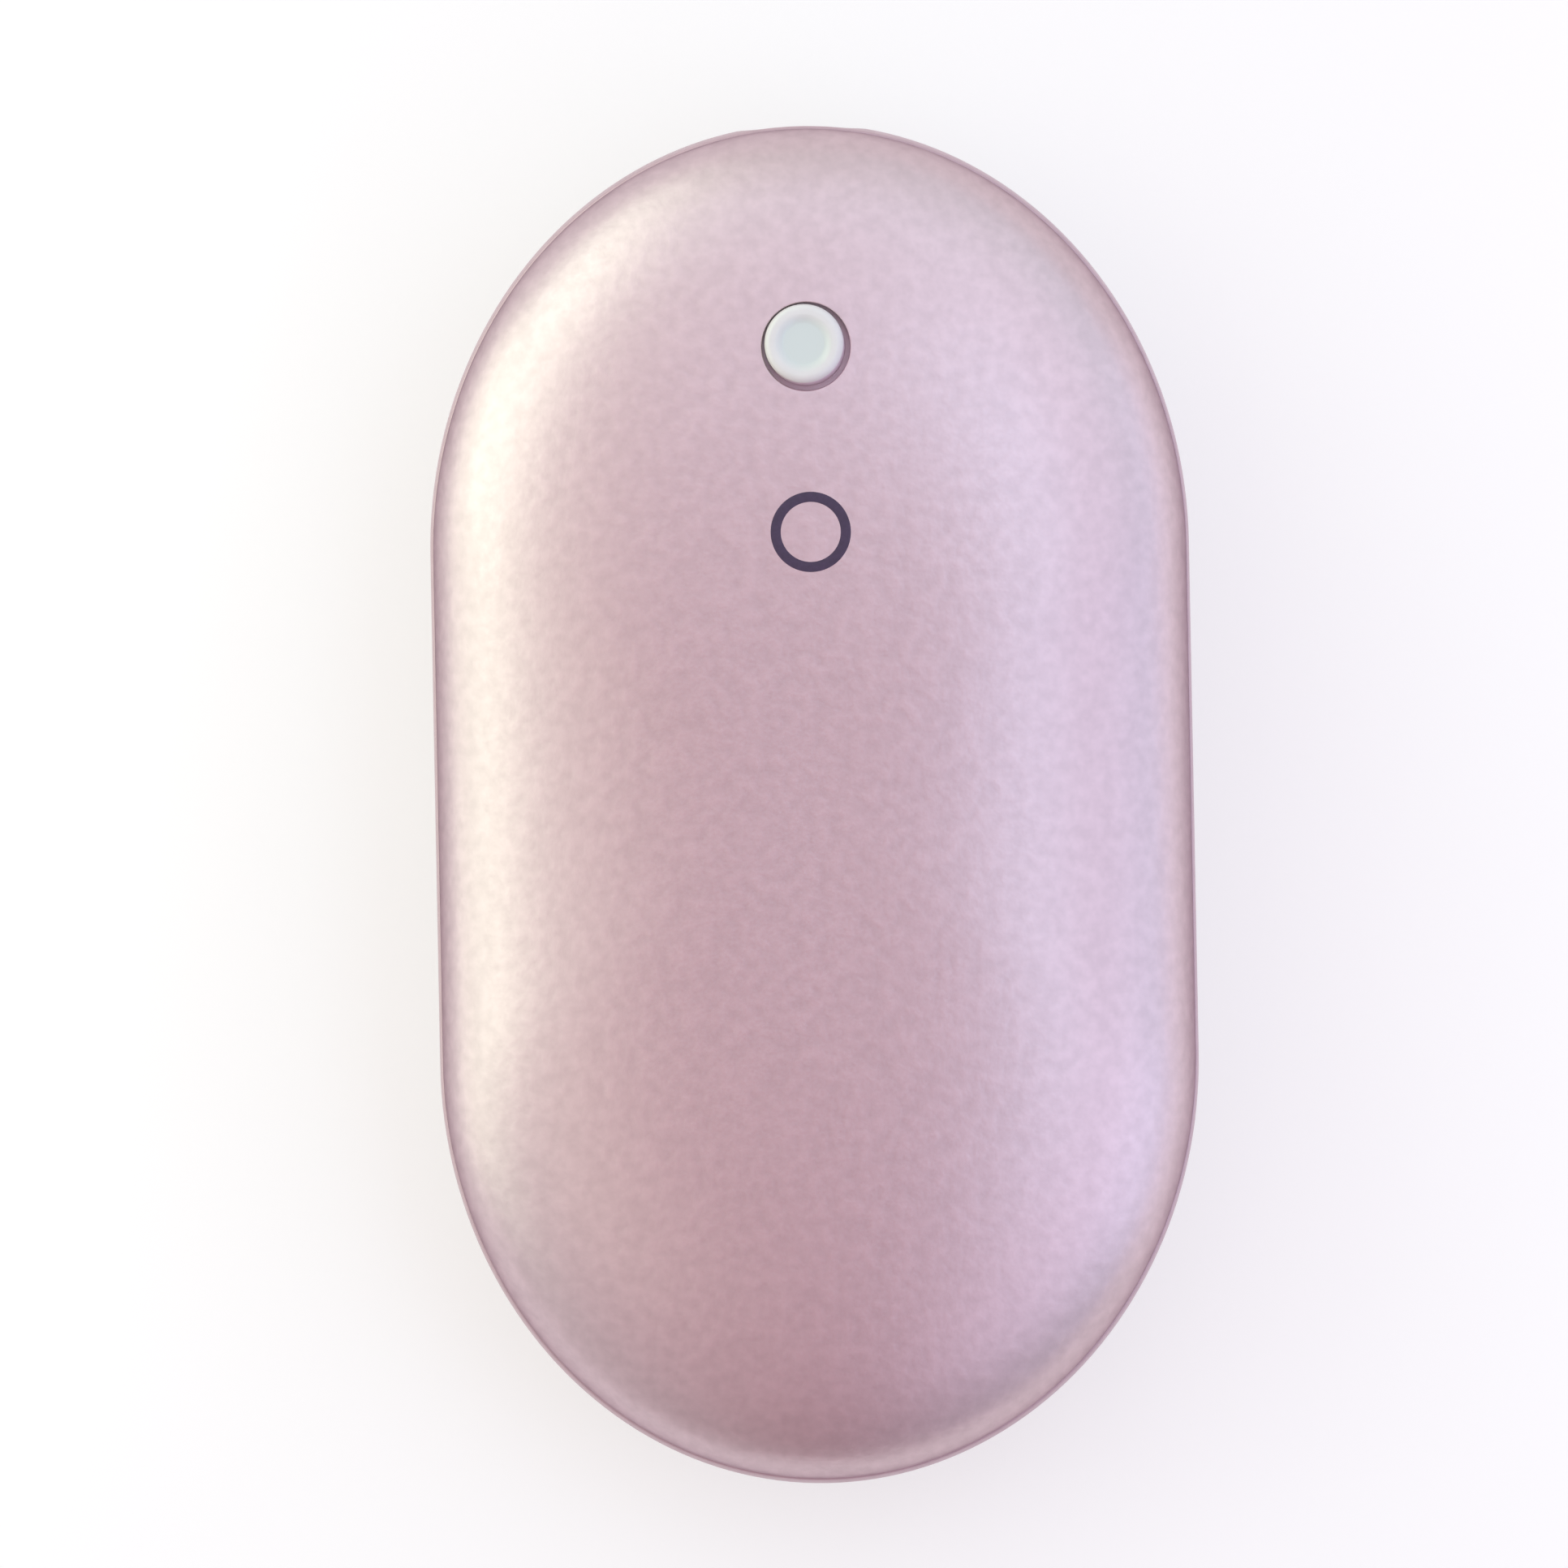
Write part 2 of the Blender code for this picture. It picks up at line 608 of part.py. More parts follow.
def make_screws():
    profile = [
        (0, -SCREW_LENGTH),
        (SCREW_RADIUS, -SCREW_LENGTH),
        (SCREW_RADIUS, 0),
        (SCREW_HEAD_RADIUS, 0),
        (SCREW_HEAD_RADIUS, SCREW_HEAD_HEIGHT - SCREW_HEAD_EDGE),
        (SCREW_HEAD_RADIUS - SCREW_HEAD_EDGE, SCREW_HEAD_HEIGHT),
        (SCREW_RECESS_RADIUS, SCREW_HEAD_HEIGHT),
        (SCREW_RECESS_RADIUS, SCREW_HEAD_HEIGHT - SCREW_RECESS_DEPTH),
        (0, SCREW_HEAD_HEIGHT - SCREW_RECESS_DEPTH),
    ]
    places = [(f"bracket_screw_{i + 1}", place, EAR_TOP_Z) for i, place in enumerate(BRACKET_SCREWS)]
    names = ("board_screw_left", "board_screw_right")
    places += [(name, place, BOARD_TOP_Z) for name, place in zip(names, BOARD_SCREWS)]
    for name, place, seat in places:
        bm = bmesh.new()
        add_turned(bm, upright(profile), SMALL_SEGMENTS)
        solid(name, bm, "steel", (place.x, place.y, seat + SEAT_GAP))


def make_strips():
    """A strip across both cells' ends, each with a tab that its lead is soldered to."""
    half = CELL_AXIS_X + STRIP_OVERHANG
    low = MIDDLE_Z - STRIP_HALF_HEIGHT
    high = MIDDLE_Z + STRIP_HALF_HEIGHT
    tab_top = VALLEY_Z + TAB_RISE
    sides = (
        ("nickel_strip_front", TAB_OFFSET, STRIP_FRONT_Y, STRIP_FRONT_Y + STRIP_THICKNESS),
        ("nickel_strip_rear", 0, STRIP_REAR_Y - STRIP_THICKNESS, STRIP_REAR_Y),
    )
    for name, tab_x, near, far in sides:
        outline = [
            (-half, low),
            (half, low),
            (half, high),
            (tab_x + TAB_HALF, high),
            (tab_x + TAB_HALF, tab_top),
            (tab_x - TAB_HALF, tab_top),
            (tab_x - TAB_HALF, high),
            (-half, high),
        ]
        bm = bmesh.new()
        add_slab(bm, outline, near, far)
        solid(name, bm, "nickel")


def make_layers():
    """The heater film inside each shell, and the pad between it and the cells."""
    film_out = WALL + SEAT_GAP
    pad_out = film_out + FILM_THICKNESS + SEAT_GAP
    layers = (
        ("heater_film", "film", film_out, FILM_THICKNESS, FILM_SHARE),
        ("foam_pad", "foam", pad_out, PAD_THICKNESS, PAD_SHARE),
    )
    for name, finish, inset, thickness, share in layers:
        for end, side in (("top", 1), ("bottom", -1)):
            rings = []
            for depth, order in ((inset, -1), (inset + thickness, 1)):
                edge = (DOME_HEIGHT - depth) * dome_share(share)
                heights = dome_heights(depth, edge, CROWN_CAP_SHARE, SOFT_LEVELS)
                rings += [body_ring(depth, side * height, SOFT_SEGMENTS) for height in heights[::order]]
            bm = bmesh.new()
            add_skin(bm, rings)
            solid(f"{name}_{end}", bm, finish)


def make_board():
    """A board that fills the front of the frame, with a straight rear edge and two screw holes."""
    inset = TONGUE_IN + BOARD_GAP
    height = BOARD_TOP_Z - MIDDLE_Z
    scale = level_scale(inset, height)
    reach = (BOARD_REAR_Y / scale - STRAIGHT_HALF) / (END_REACH - inset)
    corner = (HALF_WIDTH - inset) * scale * math.sqrt(1 - max(reach, 0) ** 2)
    arc = [(p.x, p.y) for p in body_ring(inset, height) if p.y > BOARD_REAR_Y + BOARD_GAP]
    bm = bmesh.new()
    add_prism(bm, [(corner, BOARD_REAR_Y)] + arc + [(-corner, BOARD_REAR_Y)], BOARD_LOW_Z, BOARD_TOP_Z)
    board = solid("main_board", bm, "board")
    holes = bmesh.new()
    for place in BOARD_SCREWS:
        outline = circle(SCREW_HOLE_RADIUS, SMALL_SEGMENTS, place)
        add_prism(holes, outline, BOARD_LOW_Z - OVERRUN, BOARD_TOP_Z + OVERRUN)
    combine(board, "DIFFERENCE", tool("board_holes", holes))


def chip_front_y(size, x):
    """Where the front of a chip lies, which clears the frame's rounded end at the chip's outer corner."""
    top = BOARD_TOP_Z + SEAT_GAP + size[2] - MIDDLE_Z
    return end_wall_y(abs(x) + size[0] / 2, top) - CHIP_ROOM


def make_chip(name, finish, size, x, y):
    bm = bmesh.new()
    add_box(bm, (-size[0] / 2, -size[1] / 2, 0), (size[0] / 2, size[1] / 2, size[2]))
    soften(solid(name, bm, finish, (x, y, BOARD_TOP_Z + SEAT_GAP)), CHIP_EDGE)


def make_board_parts():
    """Chips in a row along the frame's rounded end, and the light beside the switch."""
    chips = (
        ("charger_chip", "black_plastic", CHARGER_SIZE, -CHIP_OFFSET),
        ("control_chip", "black_plastic", CONTROL_SIZE, CHIP_OFFSET),
        ("heater_transistor", "grey_plastic", TRANSISTOR_SIZE, 0),
    )
    for name, finish, size, x in chips:
        make_chip(name, finish, size, x, chip_front_y(size, x) - size[1] / 2)
    make_chip("status_led", "led", LED_SIZE, SWITCH_SIDE / 2 + LED_SPACING + LED_SIZE[0] / 2, BUTTON_Y)


def make_socket():
    """The oval metal shell, open to +Y, and the plastic tongue inside it."""
    front = HALF_LENGTH - SOCKET_RECESS
    back = front - SOCKET_DEPTH
    floor = back + SOCKET_BACK
    segments = SMALL_SEGMENTS // 2
    inner_width = SOCKET_WIDTH - 2 * SOCKET_WALL
    inner_height = SOCKET_HEIGHT - 2 * SOCKET_WALL
    outer = oval(SOCKET_WIDTH, SOCKET_HEIGHT, MIDDLE_Z, segments)
    inner = oval(inner_width, inner_height, MIDDLE_Z, segments)
    levels = ((outer, back), (outer, front), (inner, front), (inner, floor))
    bm = bmesh.new()
    add_skin(bm, [[Vector((x, y, z)) for x, z in outline] for outline, y in levels])
    solid("usb_c_socket_shell", bm, "steel")

    root = oval(inner_width - 2 * SEAT_GAP, inner_height - 2 * SEAT_GAP, MIDDLE_Z, segments)
    half_width = TONGUE_WIDTH / 2
    half_height = TONGUE_HEIGHT / 2
    bm = bmesh.new()
    add_slab(bm, root, floor + SEAT_GAP, floor + SEAT_GAP + INSULATOR_DEPTH)
    insulator = solid("usb_c_socket_tongue", bm, "black_plastic")
    blade = bmesh.new()
    low = (-half_width, floor + SEAT_GAP + INSULATOR_DEPTH / 2, MIDDLE_Z - half_height)
    add_box(blade, low, (half_width, front - TONGUE_SETBACK, MIDDLE_Z + half_height))
    combine(insulator, "UNION", tool("socket_blade", blade))


def make_switch():
    base = BOARD_TOP_Z + SEAT_GAP
    half = SWITCH_SIDE / 2
    bm = bmesh.new()
    add_box(bm, (-half, -half, 0), (half, half, SWITCH_HEIGHT))
    body = solid("switch_body", bm, "grey_plastic", (0, BUTTON_Y, base))
    well = bmesh.new()
    outline = circle(PLUNGER_RADIUS + SEAT_GAP, SMALL_SEGMENTS)
    add_prism(well, outline, SWITCH_HEIGHT - WELL_DEPTH, SWITCH_HEIGHT + OVERRUN)
    combine(body, "DIFFERENCE", tool("switch_well", well, (0, BUTTON_Y, base)))


def make_button():
    """The button cap, which lies along the slope of the shell, and the switch's plunger under it."""
    rear_z = surface_z(0, BUTTON_Y - CAP_RADIUS, 0)
    front_z = surface_z(0, BUTTON_Y + CAP_RADIUS, 0)
    slope = (front_z - rear_z) / (2 * CAP_RADIUS)
    flange_top = surface_z(0, BUTTON_Y, WALL) - SEAT_GAP - FLANGE_DROP
    flange_low = flange_top - FLANGE_THICKNESS
    stem_low = flange_low - STEM_LENGTH
    top = surface_z(0, BUTTON_Y, 0) + CAP_PROUD
    profile = [
        (0, 0, 0),
        (STEM_RADIUS, 0, 0),
        (STEM_RADIUS, flange_low - stem_low, 1),
        (FLANGE_RADIUS, flange_low - stem_low, 1),
        (FLANGE_RADIUS, flange_top - stem_low, 1),
        (CAP_RADIUS, flange_top - stem_low, 1),
    ]
    steps = 4
    for i in range(steps + 1):
        angle = math.pi / 2 * i / steps
        radius = CAP_RADIUS - CAP_FILLET * (1 - math.cos(angle))
        height = top - stem_low - CAP_FILLET * (1 - math.sin(angle))
        profile.append((radius, height, 1))
    profile += [(DISH_RADIUS, top - stem_low - DISH_DEPTH / 2, 1), (0, top - stem_low - DISH_DEPTH, 1)]
    bm = bmesh.new()
    add_turned(bm, profile, ROUND_SEGMENTS, slope)
    solid("button_cap", bm, "button", (0, BUTTON_Y, stem_low))

    switch_top = BOARD_TOP_Z + SEAT_GAP + SWITCH_HEIGHT
    root = switch_top - PLUNGER_ROOT
    length = stem_low - SEAT_GAP - root
    plunger = [
        (0, 0),
        (PLUNGER_RADIUS, 0),
        (PLUNGER_RADIUS, length - PLUNGER_EDGE),
        (PLUNGER_RADIUS - PLUNGER_EDGE, length),
        (0, length),
    ]
    bm = bmesh.new()
    add_turned(bm, upright(plunger), SMALL_SEGMENTS)
    solid("switch_plunger", bm, "black_plastic", (0, BUTTON_Y, root))


def smooth_route(points, step):
    """Points about a step apart along a smooth curve through the given ones."""
    points = [Vector(point) for point in points]
    spans = [end - start for start, end in zip(points, points[1:])]
    turns = [a.normalized() * b.length + b.normalized() * a.length for a, b in zip(spans, spans[1:])]
    headings = [span.normalized() for span in [spans[0], *turns, spans[-1]]]
    route = []
    for start, span, leaving, arriving in zip(points, spans, headings, headings[1:]):
        count = max(LEAD_BEND_POINTS, round(span.length / step))
        for i in range(count):
            t = i / count
            pull = leaving * t * (1 - t) ** 2 - arriving * t**2 * (1 - t)
            route.append(start + span * t**2 * (3 - 2 * t) + span.length * pull)
    return route + [points[-1]]


def make_lead(name, finish, radius, points):
    curve = bpy.data.curves.new(name, "CURVE")
    curve.dimensions = "3D"
    curve.bevel_depth = radius
    curve.bevel_resolution = 1
    curve.use_fill_caps = True
    route = smooth_route(points, LEAD_BEND_STEP)
    spline = curve.splines.new("POLY")
    spline.points.add(len(route) - 1)
    for slot, point in zip(spline.points, route):
        slot.co = (*point, 1)
    placed(name, curve, finish, (0, 0, 0), (0, 0, 0))


# Routes of the leads over the board, chosen by hand
SOLDER_ROOM = 0.0003  # from a lead to the nearest screw lug or chip
SOLDER_SPACING = 0.0042
SENSOR_SPACING = 0.0015
LEAD_TURN_X = 0.0050
LEAD_TURN_Y = 0.0025
LEAD_TURN_RISE = 0.0022
HEATER_START_X = 0.0030
HEATER_START_SETBACK = 0.0045
HEATER_TURN_X = 0.0050
HEATER_TURN_Y = 0.0010
HEATER_TURN_RISE = 0.0016
HEATER_OVER_X = 0.0020
HEATER_OVER_Y = 0.0030
HEATER_OVER_RISE = 0.0036
UNDER_TURN_Y = 0.0030
UNDER_DROP = 0.0066
SENSOR_TURN_X = 0.0066
SENSOR_TURN_Y = 0.0004


def make_leads():
    solder_z = BOARD_TOP_Z + SEAT_GAP
    under_z = BOARD_LOW_Z - SEAT_GAP
    solder_y = chip_front_y(CONTROL_SIZE, CHIP_OFFSET) - CONTROL_SIZE[1] - LEAD_RADIUS - SOLDER_ROOM
    heater_x = BOARD_SCREWS[1].x - LUG_RADIUS - LEAD_RADIUS - SOLDER_ROOM
    battery_x = heater_x - SOLDER_SPACING
    sensor_x = heater_x - SENSOR_SPACING
    tab_y = STRIP_FRONT_Y + STRIP_THICKNESS + SEAT_GAP
    negative = [
        (0, CELL_REAR_Y, VALLEY_Z),
        (0, CELL_REAR_Y / 2, VALLEY_Z),
        (0, 0, VALLEY_Z),
        (0, CELL_FRONT_Y / 2, VALLEY_Z),
        (0, CELL_FRONT_Y - LEAD_TURN_Y, VALLEY_Z),
        (-LEAD_TURN_X, CELL_FRONT_Y + LEAD_TURN_Y, solder_z + LEAD_TURN_RISE),
        (-battery_x, solder_y, solder_z + LEAD_RADIUS),
        (-battery_x, solder_y, solder_z),
    ]
    make_lead("battery_lead_negative", "black_lead", LEAD_RADIUS, negative)
    positive = [
        (TAB_OFFSET, tab_y, VALLEY_Z - TAB_RISE),
        (TAB_OFFSET + LEAD_RADIUS, tab_y + LEAD_TURN_Y, solder_z + LEAD_TURN_RISE),
        (battery_x, solder_y, solder_z + LEAD_RADIUS),
        (battery_x, solder_y, solder_z),
    ]
    make_lead("battery_lead_positive", "red_lead", LEAD_RADIUS, positive)

    film_in = WALL + SEAT_GAP + FILM_THICKNESS
    start_y = CELL_FRONT_Y - HEATER_START_SETBACK
    start_rise = surface_z(HEATER_START_X, start_y, film_in) - MIDDLE_Z - SEAT_GAP - LEAD_RADIUS
    upper = [
        (HEATER_START_X, start_y, MIDDLE_Z + start_rise),
        (HEATER_START_X, CELL_FRONT_Y - LEAD_BEND_STEP / 2, MIDDLE_Z + start_rise - LEAD_RADIUS),
        (HEATER_TURN_X, CELL_FRONT_Y + HEATER_TURN_Y, VALLEY_Z + HEATER_TURN_RISE),
        (battery_x + HEATER_OVER_X, solder_y - HEATER_OVER_Y, solder_z + HEATER_OVER_RISE),
        (heater_x, solder_y, solder_z + LEAD_RADIUS),
        (heater_x, solder_y, solder_z),
    ]
    make_lead("heater_lead_top", "white_lead", LEAD_RADIUS, upper)
    plate_y = STRIP_FRONT_Y + STRIP_THICKNESS + SEAT_GAP + BRACKET_PLATE
    lower = [
        (-HEATER_START_X, start_y, MIDDLE_Z - start_rise),
        (-HEATER_START_X, CELL_FRONT_Y - LEAD_BEND_STEP / 2, MIDDLE_Z - start_rise + LEAD_RADIUS),
        (-HEATER_TURN_X, plate_y - BRACKET_PLATE / 2, MIDDLE_Z - UNDER_DROP),
        (-heater_x, plate_y + UNDER_TURN_Y, MIDDLE_Z - LEAD_TURN_RISE),
        (-heater_x, plate_y + UNDER_TURN_Y, under_z),
    ]
    make_lead("heater_lead_bottom", "white_lead", LEAD_RADIUS, lower)

    pad_end = (HALF_LENGTH - film_in - SEAT_GAP) * PAD_SHARE
    bead_y = pad_end + SEAT_GAP + THERMISTOR_LENGTH / 2
    bead_z = surface_z(0, bead_y, film_in) - SEAT_GAP - THERMISTOR_RADIUS
    steps = 4
    profile = []
    for i in range(steps + 1):
        angle = math.pi * i / steps
        radius = THERMISTOR_RADIUS * math.sin(angle) if 0 < i < steps else 0
        profile.append((radius, -THERMISTOR_LENGTH / 2 * math.cos(angle)))
    bm = bmesh.new()
    add_turned(bm, upright(profile), SMALL_SEGMENTS // 2)
    solid("thermistor", bm, "led", (0, bead_y, bead_z), (-math.pi / 2, 0, 0))
    sensor = [
        (0, bead_y + THERMISTOR_LENGTH / 2 + SEAT_GAP, bead_z),
        (-HEATER_START_X, CELL_FRONT_Y - LEAD_BEND_STEP / 2, bead_z),
        (-SENSOR_TURN_X, CELL_FRONT_Y + SENSOR_TURN_Y, VALLEY_Z + HEATER_TURN_RISE),
        (-sensor_x, solder_y, solder_z + LEAD_RADIUS),
        (-sensor_x, solder_y, solder_z),
    ]
    make_lead("thermistor_lead", "white_lead", THIN_LEAD_RADIUS, sensor)


def main():
    clear_scene()
    whole = bpy.data.objects.new("hand_warmer", None)
    bpy.context.scene.collection.objects.link(whole)
    make_shells()
    make_frame()
    make_cells()
    make_bracket("cell_bracket_front", CELL_FRONT_Y, 1)
    make_bracket("cell_bracket_rear", CELL_REAR_Y, -1)
    make_screws()
    make_strips()
    make_layers()
    make_board()
    make_board_parts()
    make_socket()
    make_switch()
    make_button()
    make_leads()


main()
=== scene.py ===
"""The looks of a rechargeable hand warmer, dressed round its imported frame.

Metres, +Z up. +Y points to the end with the button and the charging socket.
"""

import math

import bmesh
import bpy
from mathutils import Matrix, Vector


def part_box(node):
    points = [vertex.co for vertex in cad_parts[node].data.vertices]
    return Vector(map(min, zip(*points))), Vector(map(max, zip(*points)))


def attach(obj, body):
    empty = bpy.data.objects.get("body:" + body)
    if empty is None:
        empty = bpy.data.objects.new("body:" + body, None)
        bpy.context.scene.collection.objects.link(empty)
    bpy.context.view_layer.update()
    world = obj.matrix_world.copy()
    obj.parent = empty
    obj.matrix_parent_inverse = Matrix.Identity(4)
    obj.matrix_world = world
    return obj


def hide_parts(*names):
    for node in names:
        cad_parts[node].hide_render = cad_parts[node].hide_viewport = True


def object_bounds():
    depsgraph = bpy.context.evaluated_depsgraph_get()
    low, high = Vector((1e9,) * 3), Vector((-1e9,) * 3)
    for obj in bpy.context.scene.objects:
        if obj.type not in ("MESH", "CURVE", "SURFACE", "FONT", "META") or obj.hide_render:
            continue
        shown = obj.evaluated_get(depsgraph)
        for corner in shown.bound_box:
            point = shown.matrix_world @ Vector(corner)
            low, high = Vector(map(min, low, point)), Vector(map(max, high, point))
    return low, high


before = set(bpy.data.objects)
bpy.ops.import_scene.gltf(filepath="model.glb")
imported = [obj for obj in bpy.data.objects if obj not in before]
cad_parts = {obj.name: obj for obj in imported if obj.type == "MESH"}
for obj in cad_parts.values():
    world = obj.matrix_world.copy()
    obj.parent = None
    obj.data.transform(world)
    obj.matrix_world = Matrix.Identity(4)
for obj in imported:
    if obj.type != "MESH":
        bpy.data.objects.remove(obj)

cad_box = [list(corner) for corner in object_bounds()]


def middle(node):
    low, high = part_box(node)
    return (low + high) / 2


# Body: the same pebble that the frame holds
MIDDLE_Z = middle("mid_frame").z  # the body is widest at this level
HALF_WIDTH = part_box("mid_frame")[1].x
HALF_LENGTH = -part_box("mid_frame")[0].y
END_REACH = 0.0328
STRAIGHT_HALF = HALF_LENGTH - END_REACH
DOME_POWER = 2.65
BASE_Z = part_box("bottom_shell")[0].z
DOME_HEIGHT = cad_box[1][2] - MIDDLE_Z
RIM = MIDDLE_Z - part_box("bottom_shell")[1].z
WALL = 0.0012
SEAT_GAP = 0.0003
SEAM_GAP = 0.0002
EDGE_ROUND = 0.00018  # on the rims and the band
HOLE_ROUND = 0.0001  # round the button's hole

# Frame, as it lies behind the shells
BAND_HALF = RIM - SEAM_GAP
FACE_SHARES = (0, 0.3, 0.6)  # levels across half of the band's face
TONGUE_THICKNESS = 0.0013
TONGUE_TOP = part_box("mid_frame")[1].z - MIDDLE_Z
TONGUE_OUT = WALL + SEAT_GAP
TONGUE_IN = TONGUE_OUT + TONGUE_THICKNESS
BEAD_LIFT = 0.0010
BEAD_FOOT = BAND_HALF + BEAD_LIFT
BEAD_HEIGHT = 0.0012
BEAD_SLOPE = 0.0004
BEAD_PROUD = 0.00045
GROOVE_LOW = BEAD_FOOT - SEAT_GAP
GROOVE_HIGH = BEAD_FOOT + BEAD_HEIGHT + SEAT_GAP
LUG_RADIUS = 0.0019
LUG_FOOT = 0.0002
LUG_TOP = 0.0007  # above the middle, under a bracket's ear
SCREW_HOLE_RADIUS = 0.0011
PORT_LIP = 0.00035  # how far the port's mouth is rounded
OVERRUN = 0.001  # of a cut, past what it cuts
SCREWS = [f"bracket_screw_{i}" for i in (1, 2, 3, 4)] + ["board_screw_left", "board_screw_right"]

# Button
BUTTON_Y = middle("switch_plunger").y
CAP_RADIUS = 0.00305
CAP_CLEARANCE = 0.00035
HOLE_RADIUS = CAP_RADIUS + CAP_CLEARANCE
CAP_PROUD = 0.0010
CAP_FILLET = 0.00055
DISH_RADIUS = 0.0023
DISH_DEPTH = 0.00022
DISH_SLOPE = 0.35  # the share of its radius that slopes
CAP_SHIFT = (-0.00018, 0.00026)  # how far the proud part leans in its hole
STEM_RADIUS = 0.0019
FLANGE_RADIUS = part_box("button_cap")[1].x
FLANGE_THICKNESS = 0.0008
FLANGE_DROP = 0.00015  # from the underside of the shell

# Printed mark below the button
MARK_PLACE = (0.0001, 0.0209)
MARK_RADIUS = 0.0027  # of the middle of its line
MARK_LINE = 0.00078
MARK_FLAT = 0.42  # of the line's width, to each side of its middle
MARK_PROUD = 0.00002

# Charging socket
SOCKET_LOW, SOCKET_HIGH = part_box("usb_c_socket_shell")
SOCKET_WALL = 0.0003
SOCKET_SOFT = SOCKET_WALL / 2  # how far its edges are rounded
SOCKET_BACK = 0.0008
ROOT_LOW, ROOT_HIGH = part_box("usb_c_socket_tongue")
ROOT_DEPTH = 0.0016
ROOT_FRONT = ROOT_LOW.y + ROOT_DEPTH
BLADE_FRONT = ROOT_HIGH.y
BLADE_WIDTH = 0.0067
BLADE_HEIGHT = 0.0007
BLADE_CUT = BLADE_HEIGHT / 4  # off its corners
CONTACTS = 12
CONTACT_PITCH = 0.0005
CONTACT_WIDTH = 0.00025
CONTACT_PROUD = 0.00002

# Foam pads
FILM_THICKNESS = 0.0003
PAD_THICKNESS = 0.0005
PAD_SHARE = 0.45
PAD_OUT = WALL + FILM_THICKNESS + 2 * SEAT_GAP
PAD_EDGE = 0.00022

# How finely the pieces are divided
END_STEPS = 96
SIDE_STEPS = 40
EDGE_STEPS = 4
SOFT_STEPS = 5
SLOT_STEPS = 24
RIM_LEVELS = 22
CROWN_LEVELS = 44
INNER_LEVELS = 12
CROWN_SPACING = 1.5  # above 1, rings lie closer round the button's hole
FLANK_SHARE = 0.8  # of the outline: outside it, levels follow the outline
INNER_SHARE = 0.1  # of the outline, where the lower shell's levels end inside
LUG_STEPS = 12
HOLE_SEGMENTS = 24
PORT_STEPS = 6
CAP_SEGMENTS = 96
CAP_EDGE_STEPS = 10
DISH_STEPS = 12
FLAT_STEPS = 4
MARK_SEGMENTS = 128
PAD_STEPS = 16
SHARP_ANGLE = math.radians(40)

# Camera: the size of the photo's pixels at the widest level, and what lies at the photo's middle
PHOTO_PIXELS = 1932
PIXEL = 0.000062685
VIEW_CENTRE = (-0.00233, 0.00155)
VIEW_ROLL = math.radians(1.1)
VIEW_DEPTH = 10  # how many times its own distance the camera sees
LENS = 900
SENSOR = 36

# Colours, as the materials hold them
SHELL_COLOUR = (0.66, 0.52, 0.55)
EDGE_TINT = (0.29, 0.21, 0.27)  # of the shell, seen at a low angle
BAND_COLOUR = (0.52, 0.37, 0.41)
CAP_COLOUR = (0.70, 0.68, 0.67)
# painted shade: the dish is greener and darker than the cap, so the rim reads lighter, as if it caught
# the light
DISH_PAINTED_SHADE = (0.60, 0.65, 0.63)
# painted light: pale rose on the flange, seen in the shaded gap round the cap, stands in for the
# shell's rose light bouncing in
FLANGE_PAINTED_GAP_LIGHT = (0.90, 0.72, 0.82)
INK_COLOUR = (0.046, 0.024, 0.064)
STEEL_COLOUR = (0.62, 0.62, 0.63)
# painted shade: the foam is darker in each cell's hollow and paler on the cell walls, as the bumps lie
FOAM_HOLLOW_SHADE = (0.035, 0.035, 0.04)
FOAM_WALL_LIGHT = (0.12, 0.12, 0.13)
FLOOR_COLOUR = (0.96, 0.93, 0.93)

# The shell's finish
SHELL_ROUGHNESS = 0.37
ROUGH_SWING = 0.03
MOTTLE = 0.0005  # how wide its soft patches are
MOTTLE_SHARE = 0.055
MOTTLE_HEIGHT = 0.000022
GRAIN = 0.00012
GRAIN_HEIGHT = 0.000002

# The button's finish
CAP_PATCH = 0.0008
CAP_SPREAD = 0.02
CAP_WEAR = 0.002  # how wide its duller places are
CAP_ROUGHNESS = (0.26, 0.34)
CAP_HEIGHT = 0.000003
DISH_BLEND = 0.7  # of the dish's radius, where its painted shade begins to fade into the lighter rim

# The foam's finish
FOAM_CELL = 0.0004
FOAM_WALL = 0.8  # of a cell's width, from its middle, painted dark as shade, out to its palest colour on the walls
FOAM_WEAR = 0.001
FOAM_ROUGHNESS = (0.82, 0.95)
FOAM_HEIGHT = 0.00006

# Patterns that the finishes share
NOISE_LOW = 0.3  # most of a noise lies between these two
NOISE_HIGH = 0.7
MIX_SHARE, MIX_FIRST, MIX_SECOND, MIX_RESULT = 0, 6, 7, 2  # a colour mix's sockets
WEAR_WIDTH = 3  # how much wider worn places are than patches
WEAR = 0.12  # how far roughness swings, as a share of it
LINE_WEAR = 0.15
LINE_BLUR = 0.1
LINE_SPREAD = 0.08

# Studio
FLOOR_RADIUS = 6
FLOOR_SEGMENTS = 128
FLOOR_PATCH = 0.05
FLOOR_SPREAD = 0.01
FLOOR_WHITE = 0.5  # how much of plain white the floor shows to the camera and in gloss
HORIZON = (0.02, 0.05)  # where the room's colour begins, as the sine of the height above the floor
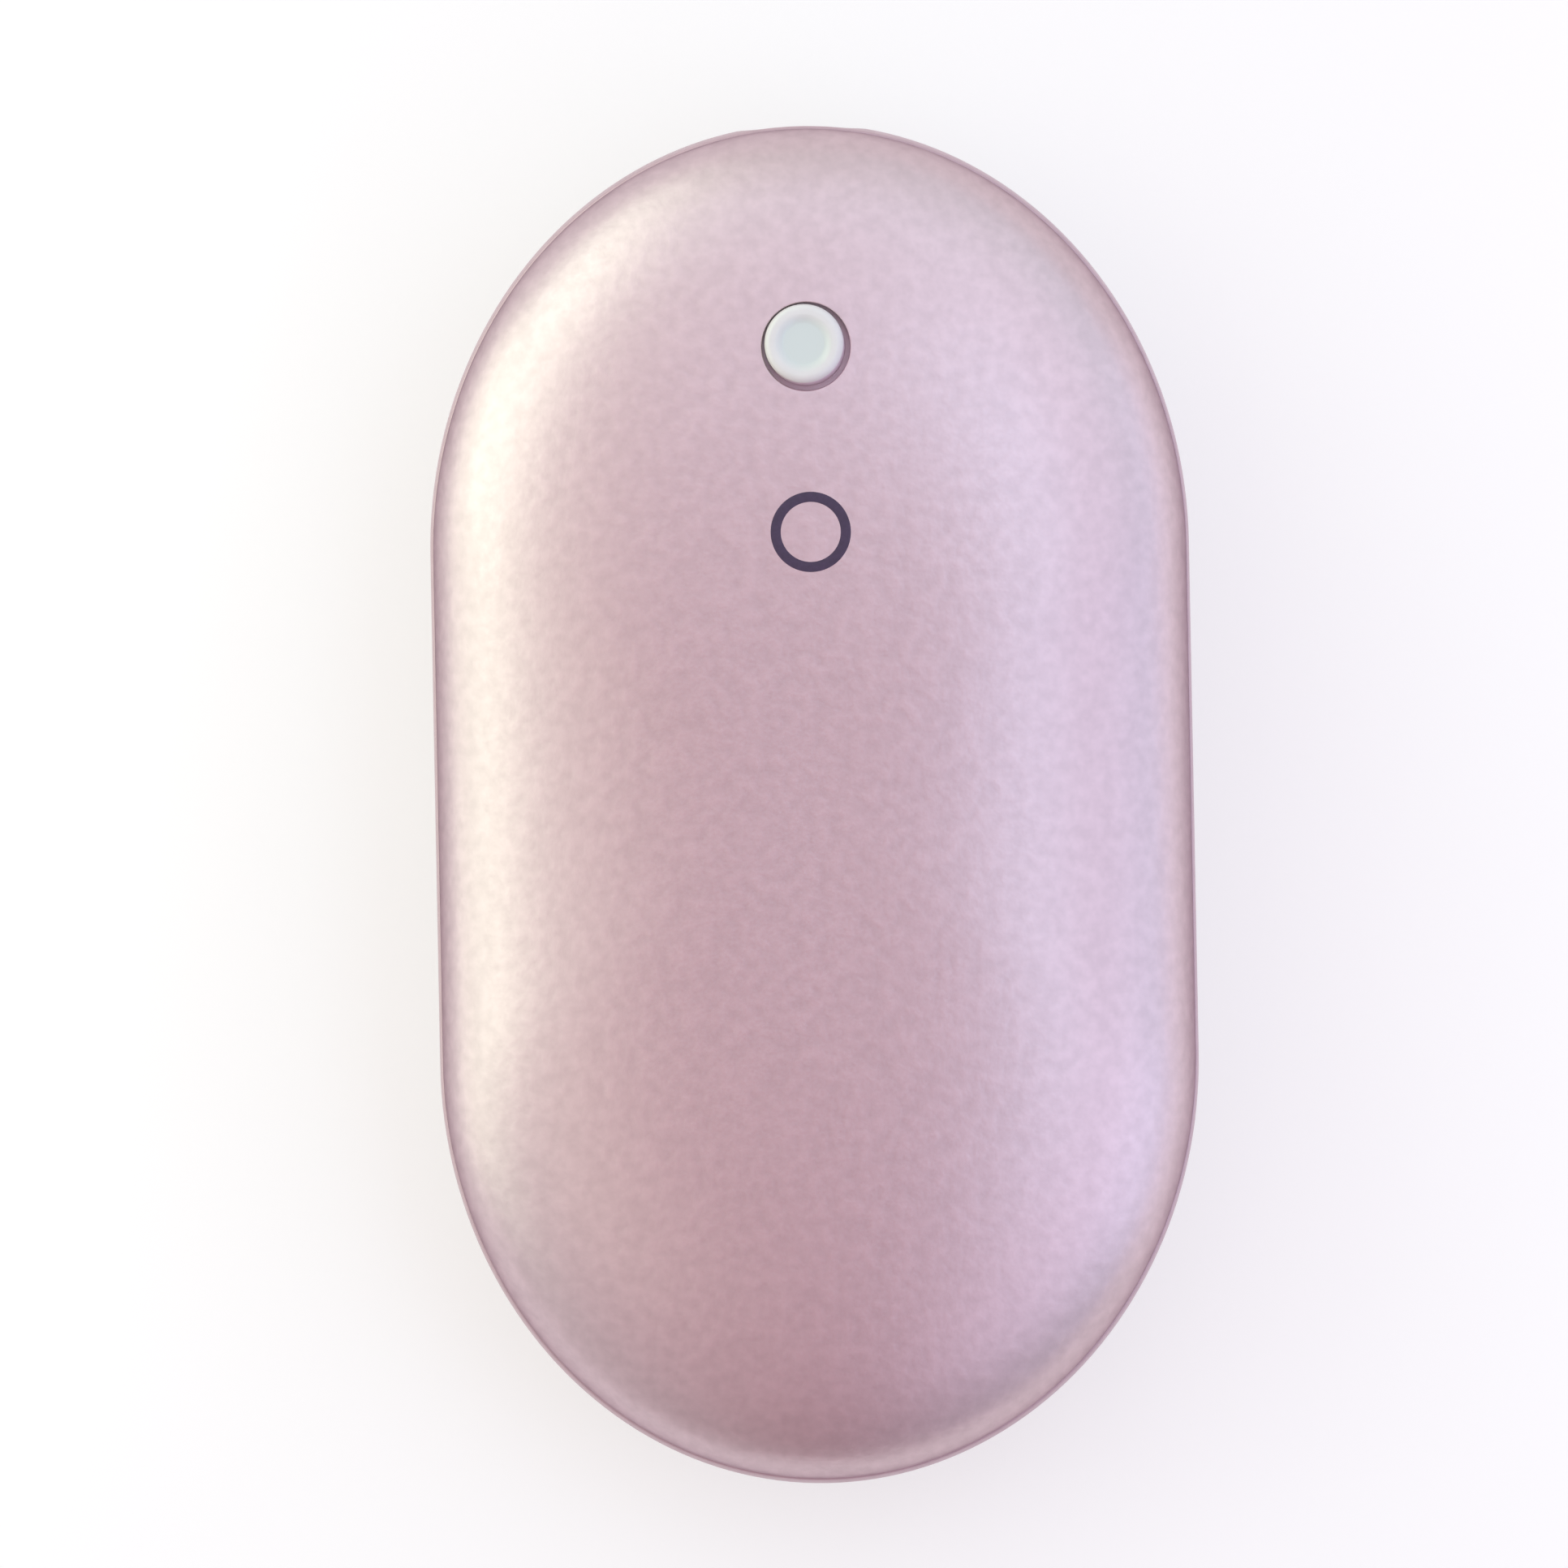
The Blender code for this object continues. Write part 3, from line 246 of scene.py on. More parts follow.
# Tints of the light, which the rose metal shows as warm white, white, blue, lilac and rose
CREAM = (0.76, 1.00, 0.70)
PALE = (0.75, 1.00, 0.95)
COOL = (0.48, 0.80, 1.00)
LILAC = (0.68, 0.76, 1.00)
ROSE = (1.00, 0.65, 0.72)
HORIZON_LIGHT = (0.65, ROSE)
ROOM_LIGHT = (0.32, ROSE)
ROOM_LIGHTS = (  # axis that it lies along, which end, brightness and tint
    (2, 1, 0.32, ROSE),
    (1, 1, 0.65, PALE),
    (0, -1, 0.60, PALE),
    (0, 1, 0.70, COOL),
)
LAMPS = (  # name, azimuth and elevation in degrees, distance, width, height, brightness and tint
    ("left_card", 172, 12, 0.09, 0.13, 0.04, 0.75, CREAM),
    ("right_card", 0, 13, 0.09, 0.14, 0.04, 0.35, LILAC),
    ("corner_near", 138, 12, 0.30, 0.30, 0.10, 0.45, CREAM),
    ("left_pool", 180, 25, 0.22, 0.24, 0.08, 0.45, CREAM),
    ("key", 155, 35, 0.75, 0.80, 0.35, 0.95, CREAM),
    ("left_high", 190, 60, 0.75, 0.60, 0.35, 0.30, CREAM),
    ("front_low", 125, 20, 0.75, 0.40, 0.30, 0.50, CREAM),
    ("front_high", 85, 45, 0.75, 0.60, 0.35, 0.35, COOL),
    ("front_top", 80, 70, 0.75, 0.40, 0.22, 0.50, COOL),
    ("right_top", 5, 68, 0.75, 0.60, 0.22, 0.95, COOL),
    ("fill_right", 15, 45, 0.75, 0.80, 0.40, 0.30, LILAC),
    ("fill_back", 320, 45, 0.75, 0.50, 0.35, 0.50, LILAC),
    ("right_back", 340, 25, 0.75, 0.40, 0.30, 0.60, LILAC),
)


def outline_scale(x, y, inset):
    """How far the outline, drawn in by inset, shrinks about its middle to pass through x, y."""
    side = abs(x) / (HALF_WIDTH - inset)
    if abs(y) <= side * STRAIGHT_HALF:
        return side
    along = abs(y) / (END_REACH - inset)
    centre = STRAIGHT_HALF / (END_REACH - inset)
    root = math.sqrt(along**2 + side**2 * (1 - centre**2))
    return (side**2 + along**2) / (along * centre + root)


def dome_share(scale):
    """The height of a dome, as a share of its full height, where its outline has shrunk to scale."""
    return (1 - scale**DOME_POWER) ** (1 / DOME_POWER)


def level_scale(inset, height):
    """How far the outline has shrunk at a height above the middle."""
    return dome_share(abs(height) / (DOME_HEIGHT - inset))


def surface_z(x, y, inset=0):
    """The height of the upper dome, drawn in by inset, over a place."""
    return MIDDLE_Z + (DOME_HEIGHT - inset) * dome_share(outline_scale(x, y, inset))


def outline_shares():
    """What each point round the outline has of the width, the ends' reach and the straight sides."""
    shares = []
    for end in (1, -1):
        for i in range(END_STEPS):
            angle = math.pi * i / END_STEPS
            shares.append((end * math.cos(angle), end * math.sin(angle), end))
        for i in range(SIDE_STEPS):
            shares.append((-end, 0, end * (1 - 2 * i / SIDE_STEPS)))
    return shares


OUTLINE = outline_shares()


def outline_at(inset, scale):
    """The outline's points in X and Y, drawn in by inset and shrunk to scale."""
    points = []
    for across, along, straight in OUTLINE:
        x = across * (HALF_WIDTH - inset)
        y = along * (END_REACH - inset) + straight * STRAIGHT_HALF
        points.append(Vector((x, y)) * scale)
    return points


def body_ring(inset, height):
    """A ring on the body's surface, drawn in by inset, at a height above the middle."""
    points = outline_at(inset, level_scale(inset, height))
    return [Vector((p.x, p.y, MIDDLE_Z + height)) for p in points]


def dome_heights(inset, low, top_scale, count):
    """Heights up a dome, evenly turned, from low to where the outline has shrunk to top_scale."""
    dome = DOME_HEIGHT - inset
    first = math.asin((low / dome) ** (DOME_POWER / 2))
    last = math.acos(top_scale ** (DOME_POWER / 2))
    angles = [first + (last - first) * i / count for i in range(count + 1)]
    return [dome * math.sin(angle) ** (2 / DOME_POWER) for angle in angles]


def smooth(mesh):
    """Shades a mesh smoothly, apart from its sharp edges."""
    mesh.shade_smooth()
    mesh.set_sharp_from_angle(angle=SHARP_ANGLE)


def mesh_from(name, bm):
    bmesh.ops.recalc_face_normals(bm, faces=bm.faces)
    mesh = bpy.data.meshes.new(name)
    bm.to_mesh(mesh)
    bm.free()
    smooth(mesh)
    return mesh


def add_object(name, data):
    obj = bpy.data.objects.new(name, data)
    bpy.context.scene.collection.objects.link(obj)
    return obj


def piece(name, bm, material, body="housing", replaced=None):
    """A visible piece that rides on a body, takes the place of a node and has a finish slot."""
    obj = add_object(name, mesh_from(name, bm))
    obj.data.materials.append(material)
    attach(obj, body)
    if replaced:
        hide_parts(replaced)
    return obj


def helper(name, bm):
    """A solid that only cuts or joins, and is never shown."""
    obj = add_object(name, mesh_from(name, bm))
    obj.hide_render = True
    obj.display_type = "WIRE"
    return obj


def combine(target, operation, other):
    """Applies a Boolean and deletes the helper."""
    modifier = target.modifiers.new(other.name, "BOOLEAN")
    modifier.operation = operation
    modifier.object = other
    graph = bpy.context.evaluated_depsgraph_get()
    made = bpy.data.meshes.new_from_object(target.evaluated_get(graph))
    target.modifiers.clear()
    target.data = made
    bpy.data.objects.remove(other)
    smooth(made)


def add_skin(bm, rings, joined=False):
    """Faces from each ring of points to the next. The ends are capped, or joined to each other."""
    rows = [[bm.verts.new(point) for point in ring] for ring in rings]
    pairs = list(zip(rows, rows[1:]))
    if joined:
        pairs.append((rows[-1], rows[0]))
    else:
        bm.faces.new(rows[0])
        bm.faces.new(rows[-1])
    for row, following in pairs:
        for i in range(len(row)):
            j = (i + 1) % len(row)
            bm.faces.new((row[i], row[j], following[j], following[i]))


def add_turned(bm, profile, segments, slope):
    """Turns (radius, height, lean) points about Z. A lean of 1 follows the slope along Y."""
    rows = []
    for radius, height, lean in profile:
        places = circle(radius, segments) if radius else [(0, 0)]
        rows.append([bm.verts.new((x, y, height + lean * slope * y)) for x, y in places])
    for row, following in zip(rows, rows[1:]):
        for i in range(segments):
            j = (i + 1) % segments
            corners = [row[i % len(row)], row[j % len(row)]]
            corners += [following[j % len(following)], following[i % len(following)]]
            bm.faces.new(dict.fromkeys(corners))


def add_prism(bm, outline, low, high):
    """An upright solid with that outline in X and Y."""
    add_skin(bm, [[Vector((x, y, z)) for x, y in outline] for z in (low, high)])


def circle(radius, segments, centre=(0, 0)):
    turn = 2 * math.pi / segments
    return [
        (centre[0] + radius * math.cos(i * turn), centre[1] + radius * math.sin(i * turn))
        for i in range(segments)
    ]


def quarter(steps=EDGE_STEPS):
    """Shares along a rounded edge: how far it has come in, and how far it still has to go over."""
    angles = [math.pi / 2 * i / steps for i in range(steps + 1)]
    return [(1 - math.cos(a), 1 - math.sin(a)) for a in angles]


def crown_ring(share, inset, radius, drop=0):
    """A ring from the button's hole, a circle of that radius at share 0, to the flank at share 1."""
    centre = Vector((0, BUTTON_Y))
    ring = []
    for flank in outline_at(inset, FLANK_SHARE):
        inner = centre + (flank - centre).normalized() * radius
        p = inner.lerp(flank, share)
        ring.append(Vector((p.x, p.y, surface_z(p.x, p.y, inset) - drop)))
    return ring


def rim_rings(side):
    """A shell's rim, from the outside round its edge and over the snap groove to the inside."""
    levels = [(EDGE_ROUND * come_in, RIM + EDGE_ROUND * over) for come_in, over in quarter()]
    levels += [
        (WALL, RIM),
        (WALL, GROOVE_LOW),
        (WALL - BEAD_PROUD, GROOVE_LOW + BEAD_SLOPE),
        (WALL - BEAD_PROUD, GROOVE_HIGH - BEAD_SLOPE),
        (WALL, GROOVE_HIGH),
    ]
    return [body_ring(inset, side * height) for inset, height in levels]


def make_top_shell(material):
    """The upper shell, with a round hole for the button whose edge is softly broken."""
    rings = []
    for come_in, over in quarter()[::-1]:
        rings.append(crown_ring(0, 0, HOLE_RADIUS + HOLE_ROUND * over, HOLE_ROUND * come_in))
    for i in range(1, CROWN_LEVELS):
        rings.append(crown_ring((i / CROWN_LEVELS) ** CROWN_SPACING, 0, HOLE_RADIUS + HOLE_ROUND))
    flank = dome_heights(0, RIM + EDGE_ROUND, FLANK_SHARE, RIM_LEVELS)[::-1]
    rings += [body_ring(0, height) for height in flank[:-1]]
    rings += rim_rings(1)
    inner = dome_heights(WALL, GROOVE_HIGH, FLANK_SHARE, INNER_LEVELS)
    rings += [body_ring(WALL, height) for height in inner[1:]]
    for i in reversed(range(INNER_LEVELS)):
        rings.append(crown_ring((i / INNER_LEVELS) ** CROWN_SPACING, WALL, HOLE_RADIUS))
    bm = bmesh.new()
    add_skin(bm, rings, joined=True)
    piece("top_shell_skin", bm, material, replaced="top_shell")


def make_bottom_shell(material):
    """The lower shell, which ends in the flat that the warmer rests on."""
    flat = level_scale(0, MIDDLE_Z - BASE_Z)
    outer = dome_heights(0, RIM + EDGE_ROUND, flat, RIM_LEVELS + CROWN_LEVELS // 2)
    inner = dome_heights(WALL, GROOVE_HIGH, INNER_SHARE, INNER_LEVELS)
    rings = [body_ring(0, -height) for height in outer[:0:-1]]
    rings += rim_rings(-1)
    rings += [body_ring(WALL, -height) for height in inner[1:]]
    bm = bmesh.new()
    add_skin(bm, rings)
    piece("bottom_shell_skin", bm, material, replaced="bottom_shell")


def make_band(material):
    """The band between the shells, with the tongues and snap beads that hold both."""
    half = [(EDGE_ROUND * over, BAND_HALF - EDGE_ROUND * come_in) for come_in, over in quarter()[::-1]]
    half += [
        (TONGUE_OUT, BAND_HALF),
        (TONGUE_OUT, BEAD_FOOT),
        (TONGUE_OUT - BEAD_PROUD, BEAD_FOOT + BEAD_SLOPE),
        (TONGUE_OUT - BEAD_PROUD, BEAD_FOOT + BEAD_HEIGHT - BEAD_SLOPE),
        (TONGUE_OUT, BEAD_FOOT + BEAD_HEIGHT),
        (TONGUE_OUT, TONGUE_TOP),
        (TONGUE_IN, TONGUE_TOP),
        (TONGUE_IN, BAND_HALF),
    ]
    face = [(0, BAND_HALF * share) for share in FACE_SHARES]
    levels = face + half + [(TONGUE_IN, 0)]
    levels += [(inset, -height) for inset, height in (face[1:] + half)[::-1]]
    bm = bmesh.new()
    add_skin(bm, [body_ring(inset, height) for inset, height in levels], joined=True)
    return piece("frame_band", bm, material, replaced="mid_frame")


def lug_outline(place):
    """A tab, half round at a screw, that runs out into the thickness of the band."""
    inset = TONGUE_IN / 2
    centre_y = math.copysign(STRAIGHT_HALF, place.y)
    across = place.x / (HALF_WIDTH - inset)
    along = (place.y - centre_y) / (END_REACH - inset)
    out = math.hypot(across, along)
    foot = Vector((place.x / out, centre_y + (place.y - centre_y) / out))
    away = (foot - place).normalized()
    side = Vector((-away.y, away.x))
    outline = []
    for i in range(LUG_STEPS + 1):
        angle = math.pi * i / LUG_STEPS
        outline.append(place + LUG_RADIUS * (side * math.cos(angle) - away * math.sin(angle)))
    return outline + [foot - LUG_RADIUS * side, foot + LUG_RADIUS * side]


def add_lugs(band):
    """Joins a lug with a hole to the band at each screw."""
    lugs = bmesh.new()
    holes = bmesh.new()
    low = MIDDLE_Z - BAND_HALF + LUG_FOOT
    for name in SCREWS:
        place = middle(name).xy
        high = MIDDLE_Z + LUG_TOP
        if name.startswith("board"):
            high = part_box("main_board")[0].z - SEAT_GAP
        add_prism(lugs, lug_outline(place), low, high)
        hole = circle(SCREW_HOLE_RADIUS, HOLE_SEGMENTS, place)
        add_prism(holes, hole, low - OVERRUN, high + OVERRUN)
    combine(band, "UNION", helper("lugs", lugs))
    combine(band, "DIFFERENCE", helper("lug_holes", holes))


def oval(width, height):
    """The outline, in X and Z about the port's middle, of a slot with round ends."""
    radius = height / 2
    reach = width / 2 - radius
    outline = []
    for side in (1, -1):
        for i in range(SLOT_STEPS):
            angle = math.pi * i / SLOT_STEPS - side * math.pi / 2
            x = side * reach + radius * math.cos(angle)
            outline.append((x, MIDDLE_Z + radius * math.sin(angle)))
        for i in range(SLOT_STEPS // 2):
            outline.append((side * reach * (1 - 4 * i / SLOT_STEPS), MIDDLE_Z + side * radius))
    return outline


def end_y(x, z):
    """How far along Y the body's end lies."""
    scale = level_scale(0, z - MIDDLE_Z)
    across = x / (HALF_WIDTH * scale)
    return scale * (STRAIGHT_HALF + END_REACH * math.sqrt(1 - across**2))


def cut_port(band):
    """Cuts the port, with a rounded mouth, through the band's end."""
    width = SOCKET_HIGH.x - SOCKET_LOW.x + 2 * SEAT_GAP
    height = SOCKET_HIGH.z - SOCKET_LOW.z + 2 * SEAT_GAP
    rings = [[Vector((x, HALF_LENGTH - 2 * TONGUE_IN, z)) for x, z in oval(width, height)]]
    for come_in, over in quarter(PORT_STEPS):
        grown = 2 * PORT_LIP * come_in
        mouth = oval(width + grown, height + grown)
        rings.append([Vector((x, end_y(x, z) - PORT_LIP * over, z)) for x, z in mouth])
    wide = oval(width + 3 * PORT_LIP, height + 3 * PORT_LIP)
    rings.append([Vector((x, HALF_LENGTH + PORT_LIP, z)) for x, z in wide])
    port = bmesh.new()
    add_skin(port, rings)
    combine(band, "DIFFERENCE", helper("port", port))


def make_frame(material):
    """The moulded hoop: the band, its screw lugs and its port."""
    band = make_band(material)
    add_lugs(band)
    cut_port(band)


def dish_profile(top):
    """The cap's dish, down its slope and in over its flat middle."""
    points = []
    for i in range(1, DISH_STEPS + 1):
        share = i / DISH_STEPS
        wave = (1 + math.cos(math.pi * share)) / 2
        points.append((DISH_RADIUS * (1 - DISH_SLOPE * share), top - DISH_DEPTH * (1 - wave), 1))
    flat = DISH_RADIUS * (1 - DISH_SLOPE)
    for i in range(1, FLAT_STEPS + 1):
        points.append((flat * (1 - i / FLAT_STEPS), top - DISH_DEPTH, 1))
    return points


def make_button(material):
    """The round cap: an upright side, a soft edge and a shallow dish, all along the shell's slope."""
    rear_z = surface_z(0, BUTTON_Y - CAP_RADIUS)
    front_z = surface_z(0, BUTTON_Y + CAP_RADIUS)
    slope = (front_z - rear_z) / (2 * CAP_RADIUS)
    top = surface_z(0, BUTTON_Y) + CAP_PROUD
    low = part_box("button_cap")[0].z
    flange_top = surface_z(0, BUTTON_Y, WALL) - FLANGE_DROP
    flange_low = flange_top - FLANGE_THICKNESS
    profile = [
        (0, low, 0),
        (STEM_RADIUS, low, 0),
        (STEM_RADIUS, flange_low, 1),
        (FLANGE_RADIUS - EDGE_ROUND, flange_low, 1),
        (FLANGE_RADIUS, flange_low + EDGE_ROUND, 1),
        (FLANGE_RADIUS, flange_top - EDGE_ROUND, 1),
        (FLANGE_RADIUS - EDGE_ROUND, flange_top, 1),
        (CAP_RADIUS, flange_top, 1),
    ]
    for come_in, over in quarter(CAP_EDGE_STEPS):
        profile.append((CAP_RADIUS - CAP_FILLET * come_in, top - CAP_FILLET * over, 1))
    bm = bmesh.new()
    add_turned(bm, profile + dish_profile(top), CAP_SEGMENTS, slope)
    reach = top - flange_top
    for vertex in bm.verts:
        rise = (vertex.co.z - slope * vertex.co.y - flange_top) / reach
        lean = min(1, max(0, rise))
        vertex.co.x += CAP_SHIFT[0] * lean
        vertex.co.y += BUTTON_Y + CAP_SHIFT[1] * lean
    piece("button_cap_moulded", bm, material, "button", "button_cap")


def make_mark(material):
    """A plain printed ring that lies on the upper shell."""
    half = MARK_LINE / 2
    flat = MARK_LINE * MARK_FLAT
    section = (
        (-half, -MARK_PROUD),
        (-half, MARK_PROUD / 2),
        (-flat, MARK_PROUD),
        (flat, MARK_PROUD),
        (half, MARK_PROUD / 2),
        (half, -MARK_PROUD),
    )
    rings = []
    for out, rise in section:
        places = circle(MARK_RADIUS + out, MARK_SEGMENTS, MARK_PLACE)
        rings.append([Vector((x, y, surface_z(x, y) + rise)) for x, y in places])
    bm = bmesh.new()
    add_skin(bm, rings, joined=True)
    piece("printed_ring", bm, material)


def slot_rings(levels):
    """Rings across the socket from (width, height, place along Y)."""
    return [[Vector((x, y, z)) for x, z in oval(width, height)] for width, height, y in levels]


def make_socket_shell(material):
    """The drawn metal shell of the socket, with a rounded mouth."""
    width = SOCKET_HIGH.x - SOCKET_LOW.x
    height = SOCKET_HIGH.z - SOCKET_LOW.z
    front = SOCKET_HIGH.y
    back = SOCKET_LOW.y
    levels = [
        (width - 2 * SOCKET_SOFT, height - 2 * SOCKET_SOFT, back),
        (width, height, back + SOCKET_SOFT),
    ]
    for come_in, over in quarter(SOFT_STEPS):
        drawn = 2 * SOCKET_SOFT * come_in
        levels.append((width - drawn, height - drawn, front - SOCKET_SOFT * over))
    for come_in, over in quarter(SOFT_STEPS)[-2::-1]:
        drawn = 2 * (SOCKET_WALL - SOCKET_SOFT * come_in)
        levels.append((width - drawn, height - drawn, front - SOCKET_SOFT * over))
    levels.append((width - 2 * SOCKET_WALL, height - 2 * SOCKET_WALL, back + SOCKET_BACK))
    bm = bmesh.new()
    add_skin(bm, slot_rings(levels))
    piece("socket_shell_drawn", bm, material, replaced="usb_c_socket_shell")


def make_socket_tongue(material):
    """The socket's tongue: a root that fills the shell, and a blade with cut corners."""
    width = ROOT_HIGH.x - ROOT_LOW.x
    height = ROOT_HIGH.z - ROOT_LOW.z
    levels = [
        (width, height, ROOT_LOW.y),
        (width, height, ROOT_FRONT - SOCKET_SOFT),
        (width - 2 * SOCKET_SOFT, height - 2 * SOCKET_SOFT, ROOT_FRONT),
    ]
    root = bmesh.new()
    add_skin(root, slot_rings(levels))
    name = "socket_tongue_moulded"
    tongue = piece(name, root, material, replaced="usb_c_socket_tongue")

    cut = BLADE_CUT
    rings = []
    for drawn, y in ((0, ROOT_FRONT - 2 * SOCKET_SOFT), (0, BLADE_FRONT - cut), (cut, BLADE_FRONT)):
        x = BLADE_WIDTH / 2 - drawn
        z = BLADE_HEIGHT / 2 - drawn / 2
        corners = [(x, z - cut), (x - cut, z), (cut - x, z), (-x, z - cut)]
        corners += [(-x, cut - z), (cut - x, -z), (x - cut, -z), (x, cut - z)]
        rings.append([Vector((a, y, MIDDLE_Z + b)) for a, b in corners])
    blade = bmesh.new()
    add_skin(blade, rings)
    combine(tongue, "UNION", helper("blade", blade))


def make_contacts(material):
    """Two rows of contacts, laid in the faces of the blade."""
    rear = ROOT_FRONT
    front = BLADE_FRONT - 2 * BLADE_CUT
    bm = bmesh.new()
    for side in (1, -1):
        face = MIDDLE_Z + side * BLADE_HEIGHT / 2
        for i in range(CONTACTS):
            x = (i - (CONTACTS - 1) / 2) * CONTACT_PITCH
            left = x - CONTACT_WIDTH / 2
            right = x + CONTACT_WIDTH / 2
            outline = [(left, rear), (right, rear), (right, front), (left, front)]
            add_prism(bm, outline, face - CONTACT_PROUD, face + CONTACT_PROUD)
    piece("socket_contacts", bm, material)


def make_pad(name, node, side, material):
    """A foam pad that follows the dome, soft and drawn in at its edge."""
    upper = [(PAD_SHARE * i / PAD_STEPS, 0) for i in range(1, PAD_STEPS)]
    for come_in, over in quarter(SOFT_STEPS):
        upper.append((PAD_SHARE - PAD_EDGE / HALF_WIDTH * over, PAD_EDGE * come_in))
    lower = [(share, PAD_THICKNESS - drop) for share, drop in upper[::-1]]
    rings = []
    for share, drop in upper + lower:
        rise = (DOME_HEIGHT - PAD_OUT) * dome_share(share) - drop
        rings.append([Vector((p.x, p.y, MIDDLE_Z + side * rise)) for p in outline_at(PAD_OUT, share)])
    bm = bmesh.new()
    add_skin(bm, rings)
    pad = piece(name, bm, material, replaced=node)


def feed(tree, socket, value):
    """Gives a socket a number, a colour or another node's output."""
    if isinstance(value, bpy.types.NodeSocket):
        tree.links.new(value, socket)
    else:
        socket.default_value = value


def compute(tree, operation, *values):
    made = tree.nodes.new("ShaderNodeMath")
    made.operation = operation
    for socket, value in zip(made.inputs, values):
        feed(tree, socket, value)
    return made.outputs[0]


def place_on(tree, stretch=(1, 1, 1)):
    """The place on the object, in metres, drawn out along each axis by its stretch."""
    place = tree.nodes.new("ShaderNodeTexCoord")
    mapping = tree.nodes.new("ShaderNodeMapping")
    mapping.inputs["Scale"].default_value = [1 / s for s in stretch]
    tree.links.new(place.outputs["Object"], mapping.inputs["Vector"])
    return mapping.outputs["Vector"]


def axis_of(tree, axis):
    """The place on the object along one axis."""
    parts = tree.nodes.new("ShaderNodeSeparateXYZ")
    tree.links.new(place_on(tree), parts.inputs[0])
    return parts.outputs[axis]


def noise(tree, patch, detail=2, stretch=(1, 1, 1)):
    """Soft noise whose patches are about that wide, in metres."""
    texture = tree.nodes.new("ShaderNodeTexNoise")
    texture.inputs["Scale"].default_value = 1 / (2 * patch)
    texture.inputs["Detail"].default_value = detail
    tree.links.new(place_on(tree, stretch), texture.inputs["Vector"])
    return texture.outputs["Fac"]


def ranged(tree, value, low, high, first=NOISE_LOW, last=NOISE_HIGH):
    """A number from low to high, as a value runs from first to last."""
    made = tree.nodes.new("ShaderNodeMapRange")
    for socket, number in zip(made.inputs, (value, first, last, low, high)):
        feed(tree, socket, number)
    return made.outputs[0]


def mixed(tree, share, first, second, blend="MIX"):
    """Two colours mixed, or joined by another kind of blend."""
    made = tree.nodes.new("ShaderNodeMix")
    made.data_type = "RGBA"
    made.blend_type = blend
    for index, value in ((MIX_SHARE, share), (MIX_FIRST, first), (MIX_SECOND, second)):
        feed(tree, made.inputs[index], value)
    return made.outputs[MIX_RESULT]


def shade(colour, share):
    """A colour made lighter, or darker where share is below 0."""
    return (*(min(1, c * (1 + share)) for c in colour), 1)


def patchy(tree, pattern, colour, spread):
    """A colour that a pattern makes darker and lighter by up to spread."""
    return mixed(tree, ranged(tree, pattern, 0, 1), shade(colour, -spread), shade(colour, spread))


def worn(tree, pattern, roughness, swing):
    """A roughness that a pattern makes smaller and greater by up to a share of it."""
    return ranged(tree, pattern, (1 - swing) * roughness, (1 + swing) * roughness)


def uneven(tree, shader, *heights):
    """Bumps, from (height of the bump in metres, pattern) pairs."""
    normal = None
    for height, pattern in heights:
        bump = tree.nodes.new("ShaderNodeBump")
        bump.inputs["Distance"].default_value = height
        tree.links.new(pattern, bump.inputs["Height"])
        if normal:
            tree.links.new(normal, bump.inputs["Normal"])
        normal = bump.outputs["Normal"]
    tree.links.new(normal, shader.inputs["Normal"])


def start_finish(name, **sockets):
    """A material, its tree and its shader, with plain values in the sockets that are named."""
    made = bpy.data.materials.new(name)
    made.use_nodes = True
    tree = made.node_tree
    shader = tree.nodes["Principled BSDF"]
    for key, value in sockets.items():
        shader.inputs[key.replace("_", " ")].default_value = value
    return made, tree, shader


def finish(name, colour, roughness, patch, spread, height, stretch=(1, 1, 1), **sockets):
    """A surface a little lighter and darker in patches, uneven, and rougher in places."""
    made, tree, shader = start_finish(name, **sockets)
    pattern = noise(tree, patch, detail=3, stretch=stretch)
    feed(tree, shader.inputs["Base Color"], patchy(tree, pattern, colour, spread))
    wear = noise(tree, WEAR_WIDTH * patch, stretch=stretch)
    feed(tree, shader.inputs["Roughness"], worn(tree, wear, roughness, WEAR))
    uneven(tree, shader, (height, pattern))
    return made


def striped(name, colour, line_colour, roughness, pitch, share, height):
    """Lines of one colour across a ground of another, such as a printed track on a film."""
    made, tree, shader = start_finish(name)
    wander = compute(tree, "MULTIPLY", noise(tree, 4 * pitch), pitch)
    across = compute(tree, "ADD", axis_of(tree, 0), wander)
    swing = compute(tree, "PINGPONG", across, pitch / 2)
    edge = pitch / 2 * share
    line = ranged(tree, swing, 1, 0, edge * (1 - LINE_BLUR), edge * (1 + LINE_BLUR))
    ground = patchy(tree, noise(tree, pitch), colour, LINE_SPREAD)
    feed(tree, shader.inputs["Base Color"], mixed(tree, line, ground, (*line_colour, 1)))
    wear = noise(tree, pitch / 4)
    feed(tree, shader.inputs["Roughness"], worn(tree, wear, roughness, LINE_WEAR))
    uneven(tree, shader, (height, line))
    return made


def anodised():
    """Fine-blasted, dyed aluminium: soft mottling with a finer grain, richer at a low angle."""
    made, tree, shader = start_finish("anodised_rose", Metallic=1, Specular_Tint=(*EDGE_TINT, 1))
    mottle = noise(tree, MOTTLE)
    grain = noise(tree, GRAIN)
    feed(tree, shader.inputs["Base Color"], patchy(tree, mottle, SHELL_COLOUR, MOTTLE_SHARE))
    rough = ranged(tree, grain, SHELL_ROUGHNESS - ROUGH_SWING, SHELL_ROUGHNESS + ROUGH_SWING)
    feed(tree, shader.inputs["Roughness"], rough)
    uneven(tree, shader, (MOTTLE_HEIGHT, mottle), (GRAIN_HEIGHT, grain))
    return made


